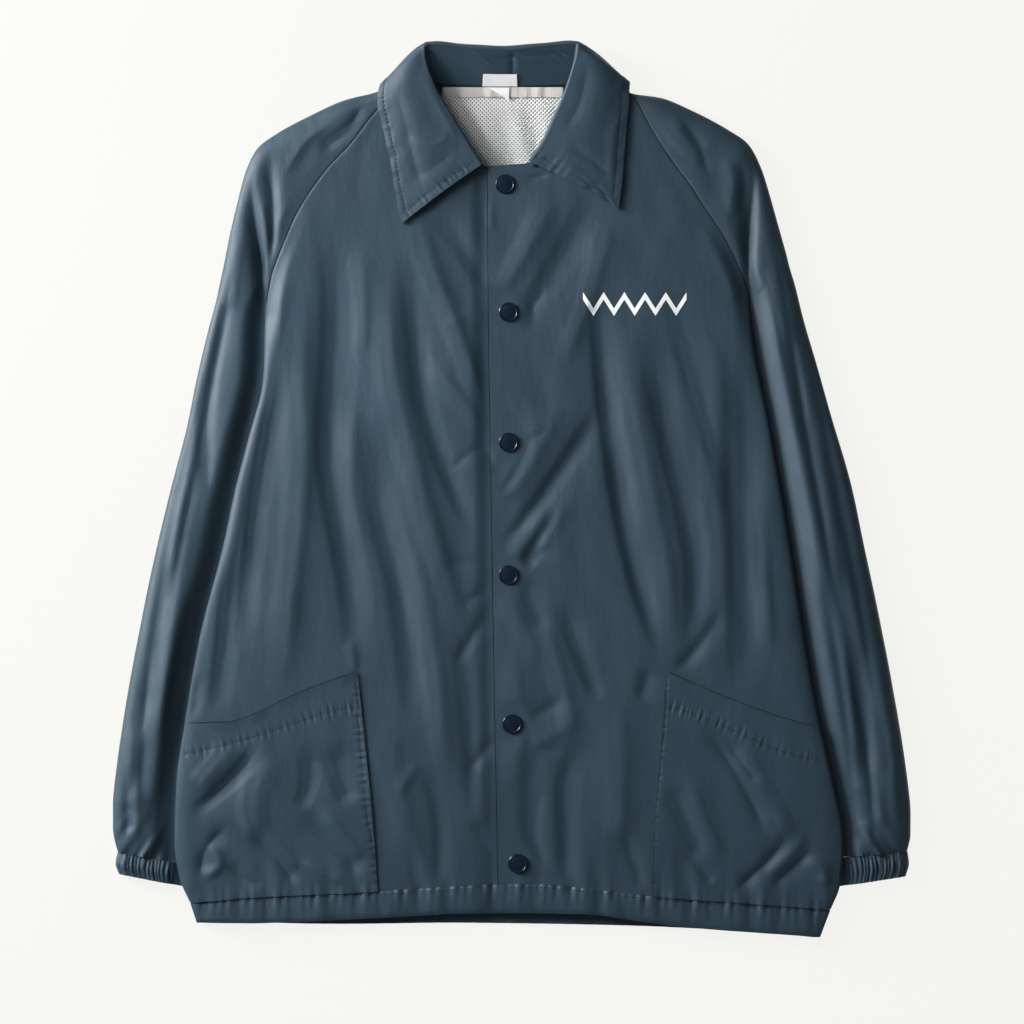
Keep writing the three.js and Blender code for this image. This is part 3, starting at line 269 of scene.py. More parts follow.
POCKET_CREASES = [
    (9, -2.2, 0.5, (-215, -219), (-225, -233), (-246, -255), (-275, -280)),
    (11, 1.6, 0.2, (-236, -218), (-253, -238), (-272, -259)),
    (15, 1.8, 0, (-196, -223), (-215, -249), (-220, -274), (-213, -304)),
    (6, -1.5, 0.4, (-241, -288), (-257, -302), (-266, -317), (-268, -335)),
    (5, 1.3, 0.3, (-272, -304), (-255, -312), (-251, -322), (-265, -336)),
    (6, -1.5, 0.4, (-227, -295), (-210, -310), (-196, -326), (-184, -343)),
    (6, 1.1, 0.2, (-220, -292), (-200, -309), (-182, -329)),
    (9, -1.7, 0.4, (-182, -276), (-162, -295), (-144, -314), (-129, -335)),
    (8, 1.2, 0.2, (-167, -274), (-146, -297), (-127, -319)),
    (10, -1.4, 0.2, (-184, -219), (-172, -238), (-175, -259), (-186, -278)),
    (12, -1.5, 0.2, (-155, -218), (-148, -243), (-138, -273)),
    (5, 1, 0.2, (-186, -317), (-167, -328), (-144, -340)),
    (5, -1, 0.2, (-244, -321), (-234, -333), (-215, -343)),
    (7, -1.6, 0.5, (163, -204), (181, -226), (201, -259), (218, -293)),
    (14, 1.8, 0, (182, -218), (206, -247), (229, -281), (243, -310)),
    (5, -1.3, 0.4, (184, -216), (198, -235), (213, -255)),
    (6, -1.7, 0.4, (239, -290), (229, -310), (206, -333), (189, -347)),
    (6, 1.3, 0.2, (255, -293), (239, -314), (217, -335)),
    (6, -1.4, 0.4, (261, -307), (244, -324), (222, -343)),
    (10, -1.3, 0.2, (134, -250), (150, -286), (167, -321)),
    (8, 1, 0.2, (148, -242), (162, -278), (181, -316)),
    (6, -1.1, 0.2, (144, -307), (160, -324), (175, -341)),
    (6, 1.2, 0.2, (249, -329), (258, -322), (268, -329), (270, -343)),
]


def ridge(distance, half):
    """A smooth rise to height 1 on a line."""
    return np.exp(-(distance / half) ** 2)


def smooth_course(points, count=14):
    points = np.array(points, float)
    if len(points) == 2:
        return points
    lengths = running(plan_steps(points))
    at = np.linspace(0, lengths[-1], count)
    return np.stack([curve(lengths, points[:, k])(at) for k in (0, 1)], axis=1)


def nearest(points, x, y):
    """Signed distance to a course, and how far along it the nearest place is, from 0 to 1."""
    spans = plan_steps(points)
    total = spans.sum()
    best = np.full(np.shape(x), 1e9)
    signed = np.zeros(np.shape(x))
    place = np.zeros(np.shape(x))
    length = 0.0
    for (ax, ay), (bx, by), span in zip(points[:-1], points[1:], spans):
        dx, dy = bx - ax, by - ay
        t = clamp(((x - ax) * dx + (y - ay) * dy) / span ** 2)
        ex, ey = x - ax - dx * t, y - ay - dy * t
        distance = np.hypot(ex, ey)
        closer = distance < best
        best = np.where(closer, distance, best)
        signed = np.where(closer, np.sign(ex * dy - ey * dx) * distance, signed)
        place = np.where(closer, (length + span * t) / total, place)
        length += span
    return signed, place


def fold_height(folds, x, y):
    total = np.zeros(np.shape(x))
    for width, height, lean, *course in folds:
        points = smooth_course(course)
        reach = 3 * width
        near = ((x > points[:, 0].min() - reach) & (x < points[:, 0].max() + reach)
                & (y > points[:, 1].min() - reach) & (y < points[:, 1].max() + reach))
        if not near.any():
            continue
        signed, place = nearest(points, x[near], y[near])
        fade = ease(place / FOLD_START) * ease((1 - place) / FOLD_END)
        steeper = 0.5 * lean if height < 0 else -0.5 * lean
        flank = width * np.where(signed > 0, 1 - steeper, 1 + steeper) * (1.2 - 0.45 * place)
        side = signed / flank
        lines = (0.1 * ridge(side - 0.75, 0.22) - 0.07 * ridge(side + 0.9, 0.25)
                 - 0.06 * ridge(side - 1.35, 0.25))
        total[near] += height * fade * (np.exp(-np.abs(side) ** 1.6) + lines * (width > FINE_WEIGHT))
    return total


def crinkle(x, y, seed):
    """Slight uneven waves of thin cloth, the same on each run."""
    draw = np.random.RandomState(seed)
    total = np.zeros(np.shape(x))
    for _ in range(14):
        pitch = draw.uniform(22, 70)
        angle = draw.normal(0.1, 0.45)
        shift = draw.uniform(0, 2 * math.pi, 2)
        across = x * math.cos(angle) + y * math.sin(angle)
        along = -x * math.sin(angle) + y * math.cos(angle)
        wave = np.sin(2 * math.pi * across / pitch + shift[0] + 0.8 * np.sin(along / 47 + shift[1]))
        total += 0.0016 * pitch * wave
    return total


def edge_rise(distance, fold):
    t = clamp(distance / SIDE_ROUND)
    return mix(ease(t), np.sqrt(1 - (1 - t) ** 2), fold)


def by_side(x, name, y):
    return np.where(x < 0, SIDE_RIGHT[name](y), SIDE_LEFT[name](y))


def inward_of(x, y):
    return np.where(x < 0, 1, -1) * (x - by_side(x, "x", y))


def seam_distance(x, y):
    """Distance in plan from the side line, measured square to it."""
    run = (by_side(x, "x", y + 1) - by_side(x, "x", y - 1)) / 2
    return np.abs(inward_of(x, y)) / np.sqrt(1 + run ** 2)


# Edge of the placket, x for y, and the sewn line and lower edge of the front hem, y for x.
UPPER_EDGE = curve([-364, -200, -60, 60, 163, 277], [-11, -14.2, -16.6, -18.5, -20, -20.5])
HEM_LINE_RIGHT = curve([-278, -217, -131, -71, -13, 24], [-356, -351, -347, -343, -340, -339.5])
HEM_LINE_LEFT = curve([-12, 24, 76, 127, 196, 275], [-339.5, -340, -345, -351, -356, -362])
HEM_EDGE_RIGHT = curve([-272, -225, -157, -96, -36, 23], [-373, -373.5, -371, -368, -365, -365])
HEM_EDGE_LEFT = curve([-11.5, 28, 67, 110, 162, 230, 266],
                      [-364.5, -365, -366, -372, -378, -383, -385.5])


def hem_line(x):
    return np.where(x < -12, HEM_LINE_RIGHT(x), HEM_LINE_LEFT(x))


def pucker(along, seed, pitch=9.5):
    """Uneven small waves along a gathered or stitched line."""
    draw = np.random.RandomState(seed)
    total = np.zeros(np.shape(along))
    for share in (1.0, 0.73, 1.37):
        total += np.sin(2 * math.pi * along / (pitch * share) + draw.uniform(0, 6.3)) * draw.uniform(0.5, 1)
    return total / 1.6


def front_height(x, y, fine=True):
    """Middle surface of the fronts."""
    sink = HEM_SINK * ease((-250 - y) / 120)
    flat = np.ones(np.shape(x))
    for sx, sy in SNAPS:
        flat = flat * ease((np.hypot(x - sx, y - sy) - SNAP_REACH) / 12)
    relief = FOLD_GAIN * fold_height(FRONT_FOLDS, x, y)
    if fine:
        relief = relief + CREASE_GAIN * fold_height(FRONT_CREASES, x, y) + crinkle(x, y, 5)
        relief = relief + POCKET_GAIN * fold_height(POCKET_CREASES, x, y)
        above = y - hem_line(x)
        relief = relief + 0.34 * pucker(x, 3) * np.exp(-np.abs(above) / 6)
        relief = relief + 0.6 * pucker(x + 0.1 * above, 8, 26.0) * np.exp(-np.abs(above) / 26)
    fold = by_side(x, "fold", y)
    z = mix(by_side(x, "front", y), FRONT_Z - sink + relief * flat, edge_rise(inward_of(x, y), fold))
    if fine:
        z = z - np.where(x < 0, 0.9, 0.15) * (1 - fold) * ridge(seam_distance(x, y), 1.6)
    return z


def under_height(x, y):
    """Middle surface of the right front, which steps down under the placket."""
    return front_height(x, y) - PLACKET_STEP * ease((x - UPPER_EDGE(y) + 16) / 13)


def add_piece(name, bm, material):
    mesh = bpy.data.meshes.new(name)
    bm.to_mesh(mesh)
    bm.free()
    mesh.materials.append(material)
    piece = bpy.data.objects.new(name, mesh)
    bpy.context.collection.objects.link(piece)
    return piece


def mesh_grid(name, grid, place, material, flip):
    """A grid whose points are set by place(u, v) in millimetres; place also gives the flat cloth's
    own coordinates, in metres, for the weave."""
    bm = bmesh.new()
    bmesh.ops.create_grid(bm, x_segments=grid[0], y_segments=grid[1], size=0.5)
    if flip:
        bmesh.ops.reverse_faces(bm, faces=bm.faces)
    for edge in bm.edges:
        edge.smooth = not edge.is_boundary
    piece = add_piece(name, bm, material)
    mesh = piece.data
    co = np.empty(len(mesh.vertices) * 3, np.float32)
    mesh.vertices.foreach_get("co", co)
    co = co.reshape(-1, 3)
    points, flat = place(clamp(co[:, 0] + 0.5), clamp(co[:, 1] + 0.5))
    mesh.vertices.foreach_set("co", (points * MM).astype(np.float32).ravel())
    corner = np.empty(len(mesh.loops), np.int32)
    mesh.loops.foreach_get("vertex_index", corner)
    layer = mesh.uv_layers.new(name="Cloth")
    layer.data.foreach_set("uv", flat[corner].astype(np.float32).ravel())
    mesh.polygons.foreach_set("use_smooth", np.ones(len(mesh.polygons), bool))
    mesh.update()
    return piece


def settle(piece, node):
    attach(piece, "root")
    if node:
        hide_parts(node)


def cloth(name, node, grid, place, thickness, look="Navy taffeta", flip=False):
    """A sheet with a wall, in the place of a node of the solids."""
    piece = mesh_grid(name, grid, place, finish(look), flip)
    wall = piece.modifiers.new("Wall", "SOLIDIFY")
    wall.thickness = thickness * MM
    wall.offset = 0
    wall.use_rim = True
    settle(piece, node)


def flat_plan(x, y):
    return np.stack([x, y], axis=1) * MM


def over_plan(edges, height, offset=0.0):
    """A sheet given by its edges in plan and a height, its flat coordinates from its plan."""
    def place(u, v):
        x, y = edges(u, v)
        return np.stack([x, y, height(x, y) + offset], axis=1), flat_plan(x, y)
    return place


# Materials. Woven trims have a colour, which for the thread is a share of the cloth's own
# kept low as painted shade of the stitch grooves, a roughness and a number of threads a metre.
WOVEN = {
    "Neck tape": ((0.50, 0.475, 0.45), 0.8, 1400.0),
    "Label cloth": ((0.78, 0.78, 0.79), 0.6, 2500.0),
    "Print": ((0.82, 0.83, 0.84), 0.55, 1700.0),
    # The thread is the cloth's colour at a quarter: real thread, darkened as painted shade of its grooves.
    "Navy thread": (0.25, 0.8, 3000.0),
}
TAFFETA_THREADS = 1700.0
TAFFETA_SHINE = 0.3
SNAP_SHINE = 0.35
MESH_PITCH = 0.0024


def fill_inputs(tree, node, inputs):
    """Sets the inputs of a node, each to a value or to a link from a socket."""
    for name, value in dict(inputs).items():
        if isinstance(value, bpy.types.NodeSocket):
            tree.links.new(value, node.inputs[name])
        else:
            node.inputs[name].default_value = value


def add_node(tree, kind, inputs=(), **settings):
    node = tree.nodes.new("ShaderNode" + kind)
    for name, value in settings.items():
        setattr(node, name, value)
    fill_inputs(tree, node, inputs)
    return node


def calc(tree, operation, *values):
    return add_node(tree, "Math", enumerate(values), operation=operation).outputs[0]


def blend(tree, first, share, second, rest):
    return calc(tree, "ADD", calc(tree, "MULTIPLY", first, share), calc(tree, "MULTIPLY", second, rest))


def mapped(tree, vector, scale, turn=0.0):
    inputs = {"Scale": scale, "Rotation": (0, 0, turn), "Vector": vector}
    return add_node(tree, "Mapping", inputs).outputs[0]


def noise(tree, vector, scale=1.0, detail=2.0, rough=0.5):
    inputs = {"Scale": scale, "Detail": detail, "Roughness": rough, "Vector": vector}
    return add_node(tree, "TexNoise", inputs).outputs["Fac"]


def object_place(tree):
    return add_node(tree, "TexCoord").outputs["Object"]


def cloth_place(tree):
    return add_node(tree, "UVMap", uv_map="Cloth").outputs["UV"]


def shade(color, share):
    return tuple(channel * share for channel in color)


def ramp(tree, value, color, shares, places=(0.3, 0.7)):
    """A colour that turns from one share of itself to another as a value rises."""
    node = add_node(tree, "ValToRGB", {"Fac": value})
    for element, place, share in zip(node.color_ramp.elements, places, shares):
        element.position = place
        element.color = (*shade(color, share), 1)
    return node.outputs["Color"]


def bump(tree, height, distance, strength=1.0, before=None):
    inputs = {"Distance": distance, "Strength": strength, "Height": height}
    if before is not None:
        inputs["Normal"] = before
    return add_node(tree, "Bump", inputs).outputs["Normal"]


def node_group(name, outputs):
    """An empty group that takes a vector and gives values."""
    tree = bpy.data.node_groups.new(name, "ShaderNodeTree")
    tree.interface.new_socket(name="Vector", in_out="INPUT", socket_type="NodeSocketVector")
    for label in outputs:
        tree.interface.new_socket(name=label, in_out="OUTPUT", socket_type="NodeSocketFloat")
    return tree


def taffeta_weave():
    """Plain weave of fine threads, with the slubs that show as short level streaks."""
    tree = node_group("Taffeta weave", ("Height", "Slub"))
    pitch = tree.interface.new_socket(name="Threads per metre", in_out="INPUT", socket_type="NodeSocketFloat")
    pitch.default_value = TAFFETA_THREADS
    given = tree.nodes.new("NodeGroupInput")
    made = tree.nodes.new("NodeGroupOutput")
    vector = given.outputs["Vector"]
    split = add_node(tree, "SeparateXYZ", {0: vector})
    turns = calc(tree, "MULTIPLY", given.outputs["Threads per metre"], 2 * math.pi)
    warp, weft = [calc(tree, "SINE", calc(tree, "MULTIPLY", split.outputs[axis], turns)) for axis in (0, 1)]
    level = noise(tree, mapped(tree, vector, (60, 1500, 1)))
    upright = noise(tree, mapped(tree, vector, (1500, 60, 1)))
    fill_inputs(tree, made, {"Height": calc(tree, "MULTIPLY", warp, weft),
                             "Slub": blend(tree, level, 0.6, upright, 0.4)})


def soft_crumple():
    """Low unevenness of thin cloth that has been folded and pressed."""
    tree = node_group("Soft crumple", ("Height", "Mask"))
    vector = tree.nodes.new("NodeGroupInput").outputs["Vector"]
    broad = noise(tree, mapped(tree, vector, (30, 18, 30)))
    fine = noise(tree, mapped(tree, vector, (95, 42, 95)), detail=5.0, rough=0.6)
    fill_inputs(tree, tree.nodes.new("NodeGroupOutput"), {
        "Height": blend(tree, broad, 0.5, fine, 0.5),
        "Mask": noise(tree, mapped(tree, vector, (7, 5, 7))),
    })


def use_group(tree, name, vector):
    return add_node(tree, "Group", {"Vector": vector}, node_tree=bpy.data.node_groups[name])


def new_material(name):
    material = bpy.data.materials.new(name)
    material.use_nodes = True
    return material, material.node_tree, material.node_tree.nodes["Principled BSDF"]


def taffeta(name, color, roughness):
    """Semi-gloss nylon taffeta."""
    material, tree, surface = new_material(name)
    woven = use_group(tree, "Taffeta weave", cloth_place(tree)).outputs
    soft = use_group(tree, "Soft crumple", object_place(tree)).outputs
    tone = blend(tree, woven["Slub"], 0.55, soft["Mask"], 0.45)
    rough = add_node(tree, "MapRange", {"Value": woven["Slub"], "From Min": 0.3, "From Max": 0.7,
                                        "To Min": roughness - 0.04, "To Max": roughness + 0.05})
    low = bump(tree, soft["Height"], 0.0011)
    fine = bump(tree, woven["Slub"], 0.00006, 0.7, low)
    fill_inputs(tree, surface, {
        "Base Color": ramp(tree, tone, color, (0.86, 1.14)),
        "Roughness": rough.outputs[0],
        "Specular IOR Level": TAFFETA_SHINE,
        "Normal": bump(tree, woven["Height"], 0.00004, 0.5, fine),
    })
    return material


def mesh_lining(name, color):
    """Knitted mesh: a diagonal lattice of small dark holes."""
    material, tree, surface = new_material(name)
    turned = mapped(tree, cloth_place(tree), (1, 1, 1), math.radians(45))
    split = add_node(tree, "SeparateXYZ", {0: turned})
    turns = 2 * math.pi / MESH_PITCH
    dots = calc(tree, "ADD", *[calc(tree, "COSINE", calc(tree, "MULTIPLY", split.outputs[axis], turns))
                               for axis in (0, 1)])
    fill_inputs(tree, surface, {
        "Base Color": ramp(tree, calc(tree, "MULTIPLY_ADD", dots, 0.25, 0.5), color, (1, 0.2), (0.54, 0.80)),
        "Roughness": 0.85,
        "Normal": bump(tree, calc(tree, "MULTIPLY", dots, -1.0), 0.0003, 0.6),
    })
    return material


def plain_weave(name, color, roughness, threads):
    """Tape, label cloth, print and thread."""
    material, tree, surface = new_material(name)
    weave = use_group(tree, "Taffeta weave", object_place(tree))
    weave.inputs["Threads per metre"].default_value = threads
    woven = weave.outputs
    fill_inputs(tree, surface, {
        "Base Color": ramp(tree, woven["Slub"], color, (0.9, 1.06)),
        "Roughness": roughness,
        "Normal": bump(tree, woven["Height"], 0.0001, 0.6),
    })
    return material


def snap_enamel(name, color):
    material, tree, surface = new_material(name)
    speck = noise(tree, object_place(tree), 900.0, 3.0)
    rough = add_node(tree, "MapRange", {"Value": speck, "To Min": 0.16, "To Max": 0.26})
    fill_inputs(tree, surface, {
        "Base Color": ramp(tree, speck, color, (0.9, 1.12)),
        "Roughness": rough.outputs[0],
        "Specular IOR Level": SNAP_SHINE,
        "Normal": bump(tree, speck, 0.00002, 0.3),
    })
    return material


def finish(name):
    """The material of a finish, made once."""
    if name in bpy.data.materials:
        return bpy.data.materials[name]
    if "Taffeta weave" not in bpy.data.node_groups:
        taffeta_weave()
        soft_crumple()
    looks = bpy.context.scene.windbreaker_looks
    base = tuple(looks.cloth_color)
    if name == "Navy taffeta":
        return taffeta(name, base, looks.cloth_roughness)
    if name == "Mesh lining":
        return mesh_lining(name, tuple(looks.lining_color))
    if name == "Snap enamel":
        return snap_enamel(name, tuple(looks.snap_color))
    color, roughness, threads = WOVEN[name]
    if isinstance(color, float):
        color = shade(base, color)
    return plain_weave(name, color, roughness, threads)


# Rows of the fronts: height on the side line, and place on the neck edge or front edge.
FRONT_NAMES = ["side", "x", "y"]
FRONT_RIGHT_ROWS = [
    (352, -70.5, 350), (343, -67, 338), (328, -63, 325), (298, -54, 306), (272, -42, 290),
    (246.5, -20, 277), (223.5, 14, 273), (202, 14.5, 238), (184, 15, 206), (167, 15.2, 182),
    (150, 15.5, 158), (120, 16, 118), (60, 17, 60), (0, 18, 0), (-60, 19, -60), (-130, 20, -130),
    (-200, 21, -200), (-270, 22, -266), (-325, 23, -316), (-355.5, 23, -339.5),
]
FRONT_LEFT_ROWS = [
    (352, 55.5, 350), (345, 53, 340), (336, 50, 328), (310, 43, 309), (286, 33, 292),
    (260, 12, 280), (237, -20.5, 277), (216, -20.5, 242), (198, -20.5, 212), (181, -20.3, 186),
    (163, -20, 162), (130, -19.5, 118), (64, -18.5, 60), (0, -17.5, 0), (-60, -16.6, -60),
    (-130, -15.4, -130), (-200, -14.2, -200), (-270, -12.8, -266), (-328, -12, -316),
    (-361.5, -11.5, -339.5),
]


def even_steps(rows, spacing_of):
    """Places along a table of rows, evenly spaced by the given lengths between them."""
    lengths = running(spacing_of)
    back = curve(lengths, np.arange(len(rows)))
    return lambda v: back(v * lengths[-1])


def edge_steps(u, share=0.1):
    """Steps across a panel, closer together in its rounded side edge."""
    dense = 0.22
    near = share * (1 - np.cos(clamp(u / dense) * math.pi / 2))
    return np.where(u < dense, near, mix(share, 1.0, (u - dense) / (1 - dense)))


def front_edges(rows, side, line):
    read = columns(rows, FRONT_NAMES)
    table = np.array(rows, float)
    steps = even_steps(rows, np.maximum(np.abs(np.diff(table[:, 0])), plan_steps(table[:, 1:])))
    last = len(rows) - 1

    def edges(u, v):
        place = steps(1 - v)
        up = read["side"](place)
        t = edge_steps(u)
        x = mix(side["x"](up), read["x"](place), t)
        straight = mix(up, read["y"](place), t)
        hem = mix(table[last][0], table[last][2], t)
        return x, straight + ease((place - last + 3) / 3) * (line(x) - hem) * ease(t / 0.03)

    return edges


def make_fronts():
    for node, rows, side, line, height, flip in (
            ("front_right", FRONT_RIGHT_ROWS, SIDE_RIGHT, HEM_LINE_RIGHT, under_height, False),
            ("front_left", FRONT_LEFT_ROWS, SIDE_LEFT, HEM_LINE_LEFT, front_height, True)):
        place = over_plan(front_edges(rows, side, line), height, FRONT_LIFT)
        cloth("cloth_" + node, node, FRONT_GRID, place, FRONT_WALL, flip=flip)


# Back: how far in from each side line the sleeves lie under it, and its height between them.
BACK = columns([
    (345, 0, 0, 3.4), (334, 0, 0, 3.4), (315, 0, 0, 2.0), (290, 0, 0), (185, 0, 0), (157, 4, 8),
    (140, 16, 18), (110, 34, 38), (55, 64, 64), (-10, 84, 78), (-90, 92, 80), (-175, 84, 71),
    (-260, 66, 57), (-310, 40, 33), (-335, 26, 25), (-354, 16, 17),
], ["y", "right", "left", "low"], "y", UNDER_USUAL)
NECK_DROP = 4.0
BACK_LEFT_Y = curve([-358, 150, 352], [-361, 163, 352])


def back_height(x, y):
    low = BACK["low"](y)
    tuck = np.where(x < 0, BACK["right"](y), BACK["left"](y))
    lifted = np.where(tuck > 0.5, np.maximum(low, mix(low, TUCK_Z, ease(tuck / 8))), low)
    inward = inward_of(x, y)
    floor = mix(lifted, low, ease((inward - tuck - 9) / 26))
    return mix(by_side(x, "back", y), floor, edge_rise(inward, by_side(x, "fold", y)))


def back_edges(u, v):
    right_y = mix(-355, 352, v)
    left_y = BACK_LEFT_Y(right_y)
    spread = 0.5 * edge_steps(2 * np.minimum(u, 1 - u), 0.13)
    spread = np.where(u < 0.5, spread, 1 - spread)
    drop = NECK_DROP * ease((right_y - 298) / 54) * ease(np.minimum(spread, 1 - spread) / 0.14)
    x = mix(SIDE_RIGHT["x"](right_y), SIDE_LEFT["x"](left_y), spread)
    return x, mix(right_y, left_y, spread) - drop


def make_back():
    cloth("cloth_back", "back", BACK_GRID, over_plan(back_edges, back_height), CLOTH)


# Sleeves: inner place, outer place, height of the top layer where it shows, and of the lower layer.
SLEEVE_NAMES = ["ix", "iy", "ox", "oy", "puff", "under"]
SLEEVE_RIGHT_ROWS = [
    (-72.5, 352, -74, 361, 12, 4.3), (-93, 343, -94, 354, 12.4, 3.9), (-115, 328, -115.5, 342, 12.4, 3.2),
    (-139, 298, -144, 334.5, 13), (-163, 272, -174, 321, 13), (-180, 246.5, -202, 306, 13),
    (-192, 223.5, -219, 293, 13), (-201, 202, -229.5, 272, 12.6), (-207, 184, -236, 247, 12.4),
    (-210.5, 167, -242, 222, 12.4), (-212.5, 150, -248, 192, 12.4), (-211.4, 143.5, -251, 178, 12.4),
    (-203, 134, -254, 164, 12.4), (-188, 115, -262, 134, 12.6), (-172, 84, -271, 96, 12.8),
    (-161, 45, -280, 52, 13), (-158, -9, -294, -2, 13.2), (-164, -55, -306, -52, 13.4),
    (-178, -110, -319, -113, 13.6), (-200, -173, -331, -178, 13.6), (-220, -230, -339.5, -233, 13.6),
    (-238, -272, -343.5, -272, 13.4), (-252, -297, -343.5, -292, 13), (-263, -317, -340.5, -308, 11.4),
    (-267, -325, -339, -313, 10),
]
SLEEVE_LEFT_ROWS = [
    (57.5, 352, 59, 361, 12, 4.3), (84, 345, 85, 353.5, 12.4, 3.9), (104, 336, 102.5, 340.5, 12.4, 3.2),
    (119, 310, 128, 336.5, 13, 0.8), (134, 286, 156, 325, 13), (153, 260, 186, 309, 13),
    (168, 237, 203, 297, 13), (182, 216, 214, 277, 12.6), (191, 198, 222, 252, 12.4),
    (198, 181, 229, 227, 12.4), (203.5, 163, 236, 202, 12.4), (202.8, 156.5, 239, 190, 12.4),
    (194, 146, 243, 177, 12.4), (180, 126, 251, 145, 12.6), (167, 95, 262, 108, 12.8),
    (161, 55, 275, 62, 13), (159, -2, 292, 4, 13.2), (164, -50, 303, -48, 13.4),
    (178, -110, 316.5, -113, 13.6), (200, -173, 329, -178, 13.6), (222, -232, 338.5, -236, 13.6),
    (241, -274, 343, -278, 13.4), (254, -299, 343, -297, 13), (262, -313, 341, -308, 11.4),
    (265, -319, 340, -312, 10),
]
ARMPIT_ROW = 10
TUCK_TOP_Z = 3.6
TUCK_ROUND = 5.0
TUCK_EDGE_Z = 2.1
SEAM_HALF = 0.95
SLEEVE_ROUND = 20.0
SLEEVE_FOLD_Z = 5.6
SLEEVE_GAIN = 1.3
SLEEVE_SPACING = 3.0
SLEEVE_POINTS = 112
CUFF_ROW = 24
SLEEVE_FOLDS = [
    (5, -6.0, -0.6, (-227, 286), (-222, 238), (-216, 200), (-212, 165), (-214, 120), (-224, 70), (-240, 0)),
    (5, -2.6, -0.6, (-214, 290), (-206, 250), (-205, 215), (-209, 180)),
    (9, 1.4, 0.0, (-236, 222), (-243, 150)),
    (9, -2.0, 0.0, (-243, 190), (-262, 60), (-262, -20)),
    (12, 1.6, 0.0, (-276, -60), (-312, -230)),
    (8, -1.8, 0.0, (-312, -140), (-322, -270)),
    (6, -5.5, -0.7, (211, 300), (207, 250), (204, 205), (204, 170), (210, 120), (224, 60), (238, -10)),
    (9, 1.4, 0.0, (226, 200), (243, 120)),
    (11, 1.6, 0.0, (250, 60), (268, 0), (282, -100)),
    (9, -2.0, 0.0, (297, -110), (308, -260)),
    (8, -1.4, 0.0, (-120, 318), (-166, 290)),
    (10, 1.2, 0.0, (130, 322), (168, 280)),
    (3, 0.8, 0.2, (-217, 248), (-212, 228), (-210, 208)),
    (4, -0.9, 0.2, (-210, 298), (-204, 262), (-200, 228)),
    (5, 0.8, 0.2, (-150, 318), (-176, 300), (-196, 270)),
    (4, -0.7, 0.2, (-128, 330), (-140, 312)),
    (5, -0.9, 0.2, (140, 324), (158, 300), (170, 268)),
    (6, 0.9, 0.2, (180, 292), (190, 262), (188, 230)),
    (5, -0.8, 0.2, (196, 286), (200, 262), (196, 236)),
    (5, -0.9, 0.2, (-256, 120), (-276, 40), (-290, -30)),
    (6, 0.9, 0.2, (-262, 60), (-284, -20), (-296, -90)),
    (5, -0.8, 0.0, (-286, -40), (-302, -120), (-306, -170)),
    (5, 0.9, 0.2, (-324, -200), (-330, -260)),
    (6, -1.1, 0.0, (-306, -262), (-312, -292)),
    (6, -1.0, 0.0, (-330, -268), (-328, -296)),
    (5, 0.8, 0.2, (236, 150), (252, 90), (258, 40)),
    (5, -0.8, 0.2, (262, 60), (276, 0), (286, -50)),
    (6, 0.9, 0.0, (286, -60), (300, -130), (306, -180)),
    (5, -0.9, 0.2, (318, -190), (326, -250)),
    (5, 1.0, 0.2, (322, -150), (334, -230)),
    (6, -1.0, 0.0, (300, -256), (304, -290)),
    (5, 0.8, 0.0, (314, -250), (318, -292)),
    (5, -1.4, 0.4, (-231, 236), (-244, 163), (-264, 59), (-284, -44), (-298, -138)),
    (6, 1.2, 0.2, (-241, 214), (-260, 120), (-280, 16), (-296, -70)),
    (5, -1.2, 0.4, (-255, 137), (-277, 42), (-298, -61), (-313, -164), (-320, -259)),
    (6, 1.3, 0.2, (-268, 16), (-286, -78), (-298, -181), (-304, -285)),
    (5, -1.3, 0.4, (-287, -130), (-298, -216), (-303, -306)),
    (5, 1.2, 0.2, (-311, -181), (-322, -250), (-323, -310)),
    (5, -1.2, 0.4, (-330, -233), (-332, -310)),
    (7, -1.6, 0.4, (-273, -61), (-284, -147), (-292, -233), (-296, -310)),
    (5, -1.4, 0.4, (220, 249), (235, 163), (252, 59), (269, -44), (282, -130)),
    (6, 1.2, 0.2, (213, 197), (235, 94), (255, -9), (272, -113)),
    (5, -1.2, 0.4, (239, 197), (261, 94), (282, -9), (301, -113), (316, -199)),
    (6, 1.3, 0.2, (248, 42), (269, -61), (289, -164), (299, -259)),
    (5, -1.3, 0.4, (286, -130), (304, -216), (313, -310)),
    (5, 1.2, 0.2, (308, -130), (325, -216), (332, -302)),
    (7, -1.6, 0.4, (265, -61), (280, -147), (291, -233), (296, -310)),
]


def resample(points, count):
    lengths = running(np.hypot(plan_steps(points[:, :2]), np.diff(points[:, 2])))
    at = np.linspace(0, lengths[-1], count)
    return np.stack([np.interp(at, lengths, points[:, k]) for k in range(3)], axis=1), lengths[-1]


